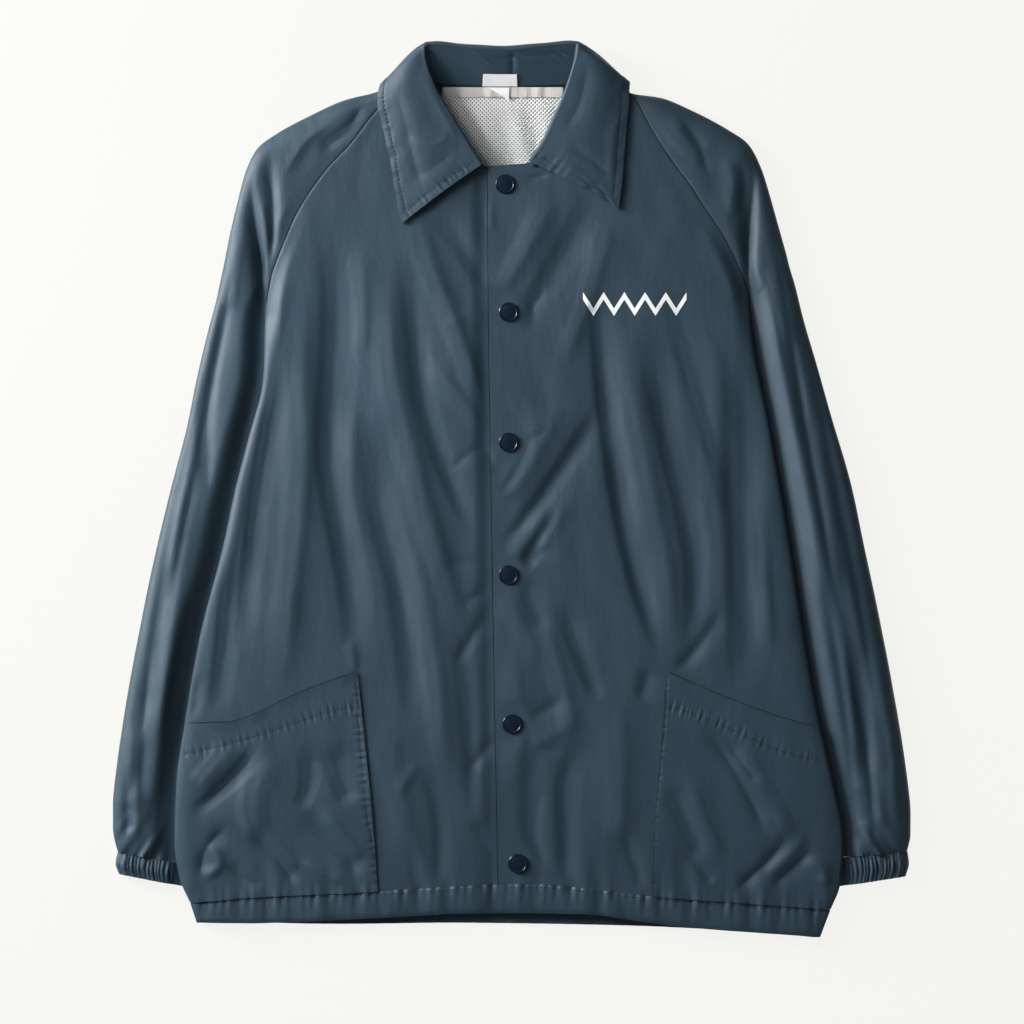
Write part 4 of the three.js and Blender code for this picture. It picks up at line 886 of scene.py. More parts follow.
def sleeve_section(read, side, place):
    """One ring of a sleeve, from its inner edge over the top to the outer fold and back below."""
    right = side is SIDE_RIGHT
    inner = np.array([read["ix"](place), read["iy"](place)], float)
    outer = np.array([read["ox"](place), read["oy"](place)], float)
    puff, under = float(read["puff"](place)), float(read["under"](place))
    tucked = float(ease((place - 8.4) / 2.6))
    if place <= ARMPIT_ROW:
        inner[0] = side["x"](inner[1]) + (1.4 if right else -1.4) * tucked
    width = float(np.hypot(*(outer - inner)))
    round_ = min(SLEEVE_ROUND, width * 0.42)
    top_seam = mix(float(side["front"](inner[1])), TUCK_EDGE_Z + SEAM_HALF, tucked)
    back_seam = mix(float(side["back"](inner[1])), TUCK_EDGE_Z - SEAM_HALF, tucked)
    shown = 0.0
    if tucked > 0:
        probe = np.arange(0, width, 0.25)
        px, py = mix(inner[0], outer[0], probe / width), mix(inner[1], outer[1], probe / width)
        shown = float(probe[np.argmax(np.abs(px) >= np.abs(side["x"](py)))])
    t = 0.5 - 0.5 * np.cos(np.linspace(0, math.pi, 240))
    distance = t * width
    x, y = mix(inner[0], outer[0], t), mix(inner[1], outer[1], t)
    low = mix(top_seam, mix(top_seam, TUCK_TOP_Z, tucked), np.sqrt(clamp(distance / TUCK_ROUND)))
    relief = SLEEVE_GAIN * fold_height(SLEEVE_FOLDS, x, y) + crinkle(x, y, 9)
    high = puff + relief * float(ease(place / 2))
    open_ = mix(low, high, ease((distance - shown - 1.5 * tucked) / mix(15, 21, tucked)))
    cuffward = max(0.0, 1 - (CUFF_ROW - place) / 3.0)
    gathered = 1.1 * cuffward ** 2 * pucker(distance, 11, 6.5) + 1.6 * cuffward * pucker(distance, 12, 17.0)
    open_ = open_ + gathered * ease((distance - shown - 6) / 10)
    if tucked < 1:
        open_ = open_ - (0.15 if right else 0.9) * (1 - tucked) * ridge(distance, 1.8)
    outward = np.sqrt(np.maximum(0, 1 - clamp((distance - width + round_) / round_) ** 2))
    top = mix(SLEEVE_FOLD_Z, open_, outward)
    low = mix(back_seam, under, np.sqrt(clamp(distance / mix(30, TUCK_ROUND, tucked))))
    bottom = mix(SLEEVE_FOLD_Z, low, outward)
    upper = np.stack([x, y, top + 0.1], axis=1)
    lower = np.stack([x, y, bottom - 0.1 * ease(distance / 20)], axis=1)[::-1][1:]
    return resample(np.concatenate([upper, lower]), SLEEVE_POINTS)


def through(sections):
    """Grid size and places of a sheet through a list of sections, with flat coordinates measured
    along its middle."""
    points = np.array([section for section, _ in sections])
    widths = np.array([width for _, width in sections])
    rows, count = points.shape[:2]
    along = running(np.linalg.norm(np.diff(points[:, count // 2], axis=0), axis=1))

    def place(u, v):
        i = np.rint(u * (count - 1)).astype(int)
        j = np.rint((1 - v) * (rows - 1)).astype(int)
        return points[j, i], flat_plan((u - 0.5) * widths[j], -along[j])

    return (count - 1, rows - 1), place


def spaced_places(tracks, spacing):
    """Places along a table, no two of them further apart than a spacing on any of its tracks."""
    lengths = running(np.max([np.linalg.norm(np.diff(track, axis=0), axis=1) for track in tracks], axis=0))
    count = int(lengths[-1] / spacing)
    return np.interp(np.linspace(0, lengths[-1], count), lengths, np.arange(len(lengths)))


def make_sleeves():
    for node, rows, side, flip in (("sleeve_right", SLEEVE_RIGHT_ROWS, SIDE_RIGHT, True),
                                   ("sleeve_left", SLEEVE_LEFT_ROWS, SIDE_LEFT, False)):
        read = columns(rows, SLEEVE_NAMES, usual=UNDER_USUAL)
        ends = np.array([row[:4] for row in rows], float)
        places = spaced_places([ends[:, 0:2], ends[:, 2:4]], SLEEVE_SPACING)
        grid, place = through([sleeve_section(read, side, at) for at in places])
        cloth("cloth_" + node, node, grid, place, SLEEVE_WALL, flip=flip)


# Collar stations: neck seam, middle of the roll, bend and edge of the leaf, and the angles that the
# roll turns between.
COLLAR_NAMES = ["sx", "sy", "sz", "rx", "ry", "rz", "bx", "by", "bz", "ex", "ey", "ez", "start", "stop"]
COLLAR_STATIONS = [
    (-24, 275, 14.6, -26.5, 278, 16.2, -60, 256, 18, -95, 227.5, 15.4, 270, 90),
    (-46, 293, 14.6, -40.5, 300, 17, -75, 280, 19, -100, 254, 15.4, 270, 90),
    (-61, 316, 14.6, -54, 322, 18, -84, 306, 20, -105, 284, 15.4, 268, 88),
    (-68, 336, 14.4, -66.5, 344, 19, -93, 330, 21, -111.5, 312, 15.4, 255, 80),
    (-69, 349, 13, -73.2, 362, 19.5, -96, 347, 21, -115.5, 332, 15.4, 230, 70),
    (-67.5, 352, 9, -75.5, 373.5, 19.5, -95, 363, 20, -112.3, 348.4, 11.2, 200, 50),
    (-66.8, 351.3, 7.6, -75, 379, 19, -98, 366, 8, -106, 352, 3.2, 185, 35),
    (-66, 350.8, 6.4, -71.5, 381.6, 18, -88, 374, 0.8, -98, 346, 1, 170, 20),
    (-60, 348.8, 5.7, -62, 381.8, 18, -72, 386, 1, -84, 341, 1, 155, 0),
    (-40, 348, 5.5, -38, 379.2, 17.5, -42, 385, 1, -62, 335.5, 1, 150, 0),
    (-8, 347.5, 5.5, -8, 377.5, 17.2, -8, 384, 1, -8, 334, 1, 150, 0),
    (25, 348, 5.5, 22, 379.8, 17.5, 26, 386, 1, 46, 335.5, 1, 150, 0),
    (45, 348.8, 5.7, 47, 382.4, 18, 56, 386, 1, 68, 341, 1, 155, 0),
    (51, 350.8, 6.4, 55.5, 382, 18, 72, 375, 0.8, 86, 345, 1, 170, 20),
    (51.8, 351.3, 7.6, 57, 379.8, 19, 84, 367, 8, 95.5, 352, 3.2, 185, 35),
    (52.5, 352, 9, 56.5, 374.5, 19.5, 78, 366, 20, 101, 348.8, 11.6, 200, 50),
    (54, 349, 13, 53, 361, 19.5, 77, 348, 21, 100.2, 334, 15.6, 230, 70),
    (52.5, 334, 14.4, 45.5, 338, 19, 74, 331, 21, 98.5, 316, 15.4, 255, 80),
    (46, 315, 14.6, 37.5, 320, 18, 68, 308, 20, 96.5, 291, 15.4, 268, 88),
    (34, 293, 14.6, 28.5, 300, 17, 62, 285, 19, 94.5, 265, 15.4, 270, 90),
    (17, 277, 14.6, 15.5, 280.5, 16.2, 55, 264, 18, 91.5, 240, 15.4, 270, 90),
]
COLLAR = columns(COLLAR_STATIONS, COLLAR_NAMES)
COLLAR_CREASES = [
    (6, -0.9, 0.2, (-104, 352), (-92, 318), (-84, 282), (-76, 256)),
    (5, 0.7, 0.2, (-78, 366), (-62, 330), (-46, 296)),
    (6, -0.8, 0.2, (-96, 262), (-74, 272), (-48, 290)),
    (4, 0.6, 0.2, (-92, 300), (-70, 296), (-50, 304)),
    (5, -0.7, 0.2, (66, 366), (58, 330), (44, 306)),
    (5, 0.7, 0.2, (92, 330), (86, 296), (84, 262)),
    (4, -0.7, 0.2, (46, 296), (66, 284), (86, 268)),
]
ROLL_RADIUS = 1.6
NECK_MIDDLE = np.array([-8.0, 312.0])
STITCH_INSET = 6.4
COLLAR_SPACING = 1.5
COLLAR_POINTS = 96
STAND_LINE = 6.5
NECK_CREASE_X = 0.5


def collar_point(kind, place):
    return np.array([float(COLLAR[kind + axis](place)) for axis in "xyz"])


def roll_arc(place, share):
    """A place on the collar's roll: share 0 starts from the stand, and 1 ends at the leaf."""
    middle = collar_point("r", place)
    out = middle[:2] - NECK_MIDDLE
    out = out / np.hypot(*out)
    angle = np.radians(mix(COLLAR["start"](place), COLLAR["stop"](place), share))
    flat = ROLL_RADIUS * np.cos(angle)
    return np.stack([middle[0] + flat * out[0], middle[1] + flat * out[1],
                     middle[2] + ROLL_RADIUS * np.sin(angle)], axis=-1)


def collar_section(place):
    """Points from the neck seam up the stand, round the roll and out along the leaf, with their
    whole length and the stand's."""
    stand = collar_point("s", place)
    arc = roll_arc(place, np.linspace(0, 1, 24))
    up = mix(stand, arc[0], np.linspace(0, 1, 24)[:, None])
    t = np.linspace(0, 1, 90)[:, None]
    bend, edge = collar_point("b", place), collar_point("e", place)
    leaf = arc[-1] * (1 - t) ** 2 + 2 * bend * t * (1 - t) + edge * t ** 2
    points, length = resample(np.concatenate([up, arc[1:], leaf[1:]]), COLLAR_POINTS)
    return points, length, float(np.linalg.norm(arc[0] - stand))


def surface_normals(points):
    normals = np.cross(np.gradient(points, axis=0), np.gradient(points, axis=1))
    return normals / np.maximum(np.linalg.norm(normals, axis=2, keepdims=True), 1e-9)


def collar_grid():
    """The collar's points, and each point's distances from its outer edge, ends and roll."""
    ends = np.array(COLLAR_STATIONS, float)
    places = spaced_places([ends[:, 3:6], ends[:, 9:12]], COLLAR_SPACING)
    points, lengths, stands = [np.array(part) for part in zip(*[collar_section(place) for place in places])]
    from_edge = lengths[:, None] * np.linspace(1, 0, COLLAR_POINTS)[None, :]
    steps = np.linalg.norm(np.diff(points, axis=0), axis=2)
    run = np.concatenate([np.zeros((1, COLLAR_POINTS)), np.cumsum(steps, axis=0)])
    from_end = np.minimum(run, run[-1:] - run)
    from_roll = lengths[:, None] * np.linspace(0, 1, COLLAR_POINTS)[None, :] - stands[:, None]
    return points, lengths, from_edge, from_end, from_roll, run


def make_collar():
    points, lengths, from_edge, from_end, from_roll, run = collar_grid()
    x, y, z = points[:, :, 0], points[:, :, 1], points[:, :, 2]
    rim = np.minimum(from_edge, np.where(from_roll > 6, from_end, 99))
    relief = -0.3 * ridge(rim - STITCH_INSET, 1.3)
    along = pucker(run + 0.5 * from_edge, 21, 5.5)
    across = pucker(from_edge + 0.5 * run, 24, 5.5)
    waves = np.where(from_edge < from_end, along, across)
    relief += 0.26 * waves * ridge(rim - STITCH_INSET + 2, 5.5)
    relief += 1.3 * ridge(from_edge / lengths[:, None] - 0.42, 0.2) * ease(from_roll / 12)
    relief += 0.22 * pucker(run, 22, 23.0) * ridge(rim, 14)
    stand_line = from_roll + STAND_LINE
    relief += -0.5 * ridge(stand_line, 1.2)
    relief += 0.45 * pucker(run, 23, 9.0) * ridge(stand_line, 5)
    relief += 0.55 * crinkle(x, y, 31)
    relief += fold_height(COLLAR_CREASES, x, y) * ease((from_roll - 3) / 8)
    relief -= 1.0 * ridge(x - NECK_CREASE_X, 2.6) * ease(-from_roll / 4 - 0.2) * (y > 300)
    relief *= ease((z - 4) / 6)
    points = points + surface_normals(points) * relief[:, :, None]
    grid, place = through(list(zip(points, lengths)))
    cloth("cloth_collar", "collar", grid, place, COLLAR_WALL)


# Pockets, with the line that their facing is sewn down on and the tack at the mouth's inner end.
POCKET_LIFT = 1.9
POCKET_SEED = 41
SLOPE_STEP = 0.5
POCKETS = {
    "pocket_right": (SIDE_RIGHT, 1, HEM_LINE_RIGHT,
                     curve([-286, -241, -227, -182, -132], [-202, -200.5, -196, -175, -156.5]),
                     curve([-347, -270, -157], [-115.5, -121, -133])),
    "pocket_left": (SIDE_LEFT, -1, HEM_LINE_LEFT,
                    curve([132, 196, 239, 268], [-157, -184, -199, -206]),
                    curve([-352, -290, -200, -157], [119.5, 122, 129, 132])),
}
POCKET_LINES = [
    [(-284, -229), (-238, -218), (-200, -206), (-161, -193), (-130, -186)],
    [(-134, -160), (-132, -187)],
    [(-133, -187), (-124.5, -280), (-120, -306), (-116.5, -345)],
    [(134, -186), (170, -198), (196, -210), (235, -226), (267, -234)],
    [(133, -160), (132, -190), (127, -242), (122.5, -294), (121.5, -350)],
]


def moved_out(height, x, y, offset):
    """Points of a height surface, moved out along its normals."""
    slope_x = (height(x + SLOPE_STEP, y) - height(x - SLOPE_STEP, y)) / (2 * SLOPE_STEP)
    slope_y = (height(x, y + SLOPE_STEP) - height(x, y - SLOPE_STEP)) / (2 * SLOPE_STEP)
    size = np.sqrt(slope_x ** 2 + slope_y ** 2 + 1)
    z = height(x, y) + offset / size
    return np.stack([x - slope_x / size * offset, y - slope_y / size * offset, z], axis=-1)


def pocket_lift(x, y):
    """How far a pocket lies out from the front: soft grooves with puckers along its sewn lines."""
    total = np.zeros(np.shape(x))
    for number, line in enumerate(POCKET_LINES):
        course = smooth_course(line, 40)
        signed, place = nearest(course, x, y)
        length = plan_steps(course).sum()
        shown = ease(place / 0.02) * ease((1 - place) / 0.02)
        puckers = 0.5 * pucker(place * length, POCKET_SEED + number, 5.2) * ridge(signed, 4.6)
        total += shown * (-0.3 * ridge(signed, 1.3) + puckers)
    return POCKET_LIFT + total


def pocket_plan(spec, u, v):
    side, inwards, hem, mouth, inner = spec
    across = mix(np.sin(u * math.pi / 2) ** 1.3, u, 0.6)
    x = mix(side["x"](-260) + inwards * 4, inner(-260), across)
    y = np.zeros(np.shape(x))
    for _ in range(5):
        y = mix(mouth(x), hem(x) - 0.1, 1 - v)
        x = mix(side["x"](y) + inwards * 2.5, inner(y), across)
    return x, y


def make_pockets():
    for node, spec in POCKETS.items():
        mouth = spec[3]

        def place(u, v):
            x, y = pocket_plan(spec, u, v)
            swell = 0.5 * ridge(mouth(x) - y, 5) * (1 + 0.5 * pucker(x, 44, 26.0)) * ease(u / 0.2)
            return moved_out(front_height, x, y, pocket_lift(x, y) + swell), flat_plan(x, y)

        cloth("cloth_" + node, node, POCKET_GRID, place, POCKET_WALL, flip=node == "pocket_left")


# Hem casings, and how each row of stitches is sewn: pitch, length and half thickness of the thread.
BACK_HEM_EDGE = curve([-271, -150, -55, 0, 103, 200, 265],
                      [-372.5, -375, -374, -374.5, -376.5, -381, -385])
HEM_STITCH = (3.4, 2.4, 0.42)
POCKET_STITCH = (3.4, 2.4, 0.45)
# This row is painted shadow: dark beads in the crevices at the pocket mouths, placket edge and raglan seams.
SEAM_SHADOW_STITCH = (3.0, 3.6, 0.42)
COLLAR_STITCH = (3.6, 2.5, 0.45)
POCKET_STITCH_LIFT = 0.48
COLLAR_STITCH_LIFT = 0.92


def make_hems():
    seam_lines = []
    for node, start, stop, line, edge, side, height, flip in (
            ("hem_front_right", -277, 22.5, HEM_LINE_RIGHT, HEM_EDGE_RIGHT, SIDE_RIGHT, under_height, False),
            ("hem_front_left", 273, -11.5, HEM_LINE_LEFT, HEM_EDGE_LEFT, SIDE_LEFT, front_height, True)):
        inwards = 1 if stop > start else -1

        def place(u, v):
            down = 1 - v
            x = mix(start, stop, u)
            y = mix(line(x) - 0.3, edge(x), down)
            outer = side["x"](y) + inwards * 0.4
            x = mix(x, outer + (x - start), ease(1 - u / 0.1))
            near = ease(np.abs(x - outer) / 10)
            swell = 0.5 * np.maximum(0, np.sin(math.pi * clamp(down * 1.05))) ** 0.7
            gathers = (0.3 * pucker(x + 2 * down, 3) * np.exp(-down / 0.35)
                       + 0.1 * pucker(x - 6 * down, 51, 15.0) + 0.26 * pucker(x + 9 * down, 52, 43.0)) * near
            z = height(x, y) + swell * near + gathers + 0.5 * (1 - near) - 0.7 * ease((down - 0.85) / 0.15)
            return np.stack([x, y, z - 0.5 * ridge(down, 0.06) * near], axis=1), flat_plan(x, y)

        cloth("cloth_" + node, node, HEM_GRID, place, CASING, flip=flip)
        u = np.linspace(0.04, 0.99 if flip else 0.845, 200)
        seam_lines.append(place(u, np.full(200, 0.9))[0] + (0, 0, CASING / 2 + 0.1))
    stitch_mesh("thread_hem", seam_lines, *HEM_STITCH)

    def place_back(u, v):
        down = 1 - v
        spread = mix(u, 0.5 - 0.5 * np.cos(math.pi * u), 0.35)
        y = mix(mix(-355, -361, spread) - 0.3, BACK_HEM_EDGE(mix(-276, 272, spread)), down)
        x = mix(SIDE_RIGHT["x"](y) + 0.4, SIDE_LEFT["x"](y) - 0.4, spread)
        inward = np.minimum(x - SIDE_RIGHT["x"](y), SIDE_LEFT["x"](y) - x)
        lift = 0.3 + 0.35 * (1 + np.sin(x / 15 * 2 * math.pi))
        return np.stack([x, y, back_height(x, y) + lift * ease(inward / 20)], axis=1), flat_plan(x, y)

    cloth("cloth_hem_back", "hem_back", BACK_HEM_GRID, place_back, CASING)


# Cuffs: inner and outer place and swell of three rings.
CUFF_TOP_Z = 8.2
CUFF_FOLD_Z = 4.4
CUFF_ROUND = 9
CUFF_GATHERS = 21
CUFF_RINGS = 18
CUFF_POINTS = 200
CUFF_NAMES = ["ix", "iy", "ox", "oy", "swell"]
CUFF_ROWS = {
    "cuff_right": [(-267, -325.5, -339.3, -313.4, 0), (-269, -335.5, -341, -322.5, 0.9),
                   (-270, -345, -338, -331.5, 0)],
    "cuff_left": [(265, -319.5, 340.2, -312.4, 0), (267.5, -332.5, 341.5, -322.5, 0.9),
                  (269, -344.5, 338.5, -333.5, 0)],
}


def cuff_section(read, place):
    """One ring of a cuff, with irregular gathers on its upper side."""
    ix, iy, ox, oy, swell = [float(read[name](place)) for name in CUFF_NAMES]
    width = math.hypot(ox - ix, oy - iy)

    def rounded(t):
        distance = t * width
        over = np.maximum(0, distance - width + CUFF_ROUND) / CUFF_ROUND
        tuck = np.maximum(0, TUCK_ROUND - distance) / TUCK_ROUND
        return distance, np.sqrt(np.maximum(0, 1 - over ** 2)), np.sqrt(np.maximum(0, 1 - tuck ** 2))

    def side_of(t, height):
        return np.stack([mix(ix, ox, t), mix(iy, oy, t), height], axis=1)

    t = np.linspace(0, 1, 300)
    distance, outer, inner = rounded(t)
    phase = t * CUFF_GATHERS * 2 * math.pi + place * 0.5
    phase = phase + 1.6 * np.sin(t * 23 + 0.7 * place) + 0.9 * np.sin(t * 51)
    size = 0.72 + 0.3 * np.sin(t * 31 + 1.9 * place) + 0.2 * np.sin(t * 77 + place)
    ripple = (1.1 * size * np.sin(phase) + 0.25 * np.sin(phase * 0.47 + 1.3)) * ease((distance - 16) / 12)
    ripple = ripple * (0.8 + 0.35 * math.cos(math.pi * (place - 1)))
    swollen = mix(TUCK_TOP_Z, CUFF_TOP_Z + swell, ease((distance - 18) / 14)) + ripple
    top = mix(CUFF_FOLD_Z, mix(TUCK_EDGE_Z + SEAM_HALF, swollen, inner), outer)
    back = np.linspace(1, 0, 80)
    _, outer, inner = rounded(back)
    low = mix(CUFF_FOLD_Z, mix(TUCK_EDGE_Z - 0.75, CUFF_CLOTH / 2, inner), outer)
    return resample(np.concatenate([side_of(t, top), side_of(back, low)[1:]]), CUFF_POINTS)


def make_cuffs():
    for node, rows in CUFF_ROWS.items():
        read = columns(rows, CUFF_NAMES)
        grid, place = through([cuff_section(read, at) for at in np.linspace(0, 2, CUFF_RINGS)])
        cloth("cloth_" + node, node, grid, place, CUFF_CLOTH, flip=node == "cuff_right")


# Lining, tape and labels
LINING_CORNERS = [(-60, 345.5), (44, 345.5), (66, 232), (-80, 232)]
TAPE_CORNERS = [(-59, 346), (43.5, 346), (44.5, 337.5), (-60, 337.5)]
LABEL_FROM, LABEL_TO, LABEL_REACH = -24.0, 3.0, 0.34
LABEL_STATION = curve([-61, -38, -8, 22], [8, 9, 10, 11])
LABEL_SIZE = (0.027, 0.013)
TAB_X = (-20.0, -2.5)
TAB_Y = (334.5, 345.5)


def lining_height(x, y):
    return back_height(x, y) + CLOTH / 2 + LAY_GAP + LINING / 2


def flat_edges(corners):
    (ax, ay), (bx, by), (cx, cy), (dx, dy) = corners
    return lambda u, v: (mix(mix(ax, dx, 1 - v), mix(bx, cx, 1 - v), u),
                         mix(mix(ay, dy, 1 - v), mix(by, cy, 1 - v), u))


def make_lining():
    def height(x, y):
        waves = 0.9 * pucker(x + 0.25 * y, 61, 34.0) + 0.3 * crinkle(x, y, 62) + 0.8
        return lining_height(x, y) + ease((345 - y) / 40) * waves

    place = over_plan(flat_edges(LINING_CORNERS), height)
    cloth("cloth_lining", "lining_back", LINING_GRID, place, LINING_WALL, "Mesh lining")


def make_neck_tape():
    def height(x, y):
        return lining_height(x, y) + LINING + LAY_GAP + 0.35 * pucker(x, 63, 14.0)

    place = over_plan(flat_edges(TAPE_CORNERS), height)
    cloth("cloth_neck_tape", "neck_tape", TAPE_GRID, place, LINING, "Neck tape")


def make_label():
    def place(u, v):
        at = LABEL_STATION(mix(LABEL_FROM, LABEL_TO, u))
        low = np.stack([COLLAR[name](at) for name in ("sx", "sy", "sz")], axis=1)
        high = roll_start(at)
        slope = high - low
        slope = slope / np.linalg.norm(slope, axis=1, keepdims=True)
        normal = np.stack([np.zeros(len(u)), -slope[:, 2], slope[:, 1]], axis=1)
        normal = normal / np.linalg.norm(normal, axis=1, keepdims=True)
        point = mix(low, high, (LABEL_REACH * v)[:, None])
        curl = 1.7 + 0.5 * (np.abs(2 * u - 1) ** 3) * v + 0.2 * np.sin(v * 5 + u * 3)
        return point + normal * curl[:, None], np.stack([u * LABEL_SIZE[0], v * LABEL_SIZE[1]], axis=1)

    cloth("cloth_label", "label", LABEL_GRID, place, LABEL_WALL, "Label cloth")


def roll_start(at):
    """Where the collar's stand meets its roll, for a list of stations."""
    middle = np.stack([COLLAR[name](at) for name in ("rx", "ry", "rz")], axis=1)
    out = middle[:, :2] - NECK_MIDDLE
    out = out / np.linalg.norm(out, axis=1, keepdims=True)
    angle = np.radians(COLLAR["start"](at))
    middle[:, :2] += ROLL_RADIUS * np.cos(angle)[:, None] * out
    middle[:, 2] += ROLL_RADIUS * np.sin(angle)
    return middle


def make_label_tab():
    base = float(lining_height(np.array([-10.0]), np.array([TAB_Y[1]]))[0]) + LINING + LAY_GAP
    seat = base + LINING / 2 + LAY_GAP + LABEL_WALL / 2

    def place(u, v):
        reach = mix(0.04, 1.0, u)
        x = mix(*TAB_X, reach)
        y = mix(TAB_Y[1], mix(*TAB_Y, v), reach)
        z = seat + 0.4 * np.sin(u * math.pi) * (1 - v)
        return np.stack([x, y, z], axis=1), flat_plan(x, y)

    cloth("cloth_label_tab", "label_tab", TAB_GRID, place, LABEL_WALL, "Label cloth")


# Snaps, stitches and the chest ornament. The snap's profile is radius and height over its seat.
SNAP_PROFILE = [
    (0.01, 2.3), (2.5, 2.25), (4.6, 2.08), (6.1, 1.82), (6.6, 1.7), (6.85, 1.72), (7.1, 1.95),
    (7.35, 2.08), (7.65, 2.1), (7.95, 1.96), (8.25, 1.62), (8.42, 1.2), (8.45, 0.95), (8.36, 0.6),
    (8.1, 0.2), (7.9, 0.02),
]
SNAP_STEPS = 72
WELD = 0.00002


def snap_seat(x, y):
    angles = np.arange(12) * math.pi / 6
    around = front_height(x + 9 * np.cos(angles), y + 9 * np.sin(angles), False)
    return float(around.max()) + CLOTH / 2


def make_snaps():
    for number, (x, y) in enumerate(SNAPS, 1):
        bm = bmesh.new()
        seat = snap_seat(x, y)
        ring = [bm.verts.new(Vector((x + radius, y, seat + height)) * MM) for radius, height in SNAP_PROFILE]
        rim = [bm.edges.new(pair) for pair in zip(ring[:-1], ring[1:])]
        bmesh.ops.spin(bm, geom=ring + rim, cent=Vector((x, y, 0)) * MM, axis=(0, 0, 1),
                       angle=2 * math.pi, steps=SNAP_STEPS, use_merge=True)
        bmesh.ops.remove_doubles(bm, verts=bm.verts, dist=WELD)
        bmesh.ops.recalc_face_normals(bm, faces=bm.faces)
        for face in bm.faces:
            face.smooth = True
        piece = add_piece("snap_cap_%d" % number, bm, finish("Snap enamel"))
        settle(piece, "snap_%d" % number)


def stitch_mesh(name, lines, pitch, length, radius):
    """Lines of thread: each stitch is a small long bead laid along its line, in the dark thread colour that
    also paints the shade of the stitch grooves.
    """
    bm = bmesh.new()
    size = Matrix.Diagonal((length / 2 * MM, radius * MM, radius * 0.8 * MM, 1))
    for line in lines:
        run = running(np.linalg.norm(np.diff(line, axis=0), axis=1))
        for number in range(int(run[-1] / pitch)):
            middle = (number + 0.5) * pitch
            start, stop = [np.array([np.interp(middle + shift, run, line[:, k]) for k in range(3)])
                           for shift in (-length / 2, length / 2)]
            turn = Vector(stop - start).normalized().to_track_quat("X", "Z").to_matrix().to_4x4()
            put = Matrix.Translation(Vector((start + stop) / 2) * MM) @ turn @ size
            bmesh.ops.create_uvsphere(bm, u_segments=6, v_segments=5, radius=1, matrix=put)
    for face in bm.faces:
        face.smooth = True
    # The thread's dark colour is partly painted shade of the stitch grooves.
    settle(add_piece(name, bm, finish("Navy thread")), None)


def line_on(height, line, lift):
    course = smooth_course(line, 120)
    if len(course) == 2:
        course = np.array([mix(course[0], course[1], t) for t in np.linspace(0, 1, 20)])
    return np.column_stack([course, height(course[:, 0], course[:, 1]) + lift])


def pocket_surface(x, y):
    return moved_out(front_height, x, y, pocket_lift(x, y))[:, 2]


def seam_shadow_lines():
    """Courses of dark thread beads laid as painted shadow lines in the crevices: just above the pocket
    mouths, just beside the placket's edge and along the raglan seams.
    """
    seams = []
    for side, inwards, _, mouth, inner in POCKETS.values():
        x = np.linspace(side["x"](-200) + inwards * 3, inner(-160) - inwards * 0.5, 90)
        y = mouth(x) + 0.7
        seams.append(np.column_stack([x, y, front_height(x, y) + 0.75]))
    y = np.linspace(276, -362, 300)
    x = UPPER_EDGE(y) - 0.8
    seams.append(np.column_stack([x, y, under_height(x, y) + 0.6]))
    y = np.linspace(334, 158, 150)
    for side in (SIDE_RIGHT, SIDE_LEFT):
        seams.append(np.column_stack([side["x"](y), y, side["front"](y) + 0.3]))
    return seams


def collar_stitches():
    """Courses of the thread along the collar's outer edge and its two ends."""
    points, _, from_edge, from_end, from_roll, run = collar_grid()
    lifted = points + surface_normals(points) * COLLAR_STITCH_LIFT
    lines = []
    outer = np.argmin(np.abs(from_edge - STITCH_INSET), axis=1)
    rows = np.arange(len(points))
    shown = rows[(from_end[rows, outer] > STITCH_INSET) & (points[rows, outer, 2] > 9)]
    for part in np.split(shown, np.flatnonzero(np.diff(shown) > 1) + 1):
        if len(part) > 3:
            lines.append(lifted[part, outer[part]])
    across = np.arange(points.shape[1])
    for reach in (run, run[-1:] - run):
        row = np.argmin(np.abs(reach - STITCH_INSET), axis=0)
        keep = across[(from_roll[row, across] > 8) & (from_edge[row, across] > STITCH_INSET)]
        lines.append(lifted[row[keep], keep])
    return lines


def make_stitches():
    pockets = [line_on(pocket_surface, line, POCKET_STITCH_LIFT) for line in POCKET_LINES]
    stitch_mesh("thread_pockets", pockets, *POCKET_STITCH)
    # Dark beads as painted shadow lines at the pocket mouths, placket edge and raglan seams.
    stitch_mesh("thread_seams", seam_shadow_lines(), *SEAM_SHADOW_STITCH)
    stitch_mesh("thread_collar", collar_stitches(), *COLLAR_STITCH)


ORNAMENT_X, ORNAMENT_Y = (61.0, 150.0), 159.0
ORNAMENT_TURNS, ORNAMENT_RISE, ORNAMENT_STROKE, ORNAMENT_LIFT = 5, 7.0, 6.4, 0.2 + 0.4 + 0.1
ORNAMENT_GRID = (ORNAMENT_TURNS * 2 * 12, 5)


def make_ornament():
    """A plain zigzag band printed on the chest."""
    def place(u, v):
        x = mix(*ORNAMENT_X, u)
        swing = 2 * np.abs(2 * ((u * ORNAMENT_TURNS) % 1.0) - 1) - 1
        y = ORNAMENT_Y + ORNAMENT_RISE * swing + ORNAMENT_STROKE * (v - 0.5)
        return moved_out(front_height, x, y, ORNAMENT_LIFT), flat_plan(x, y)

    cloth("print_zigzag", None, ORNAMENT_GRID, place, PRINT_WALL, "Print")


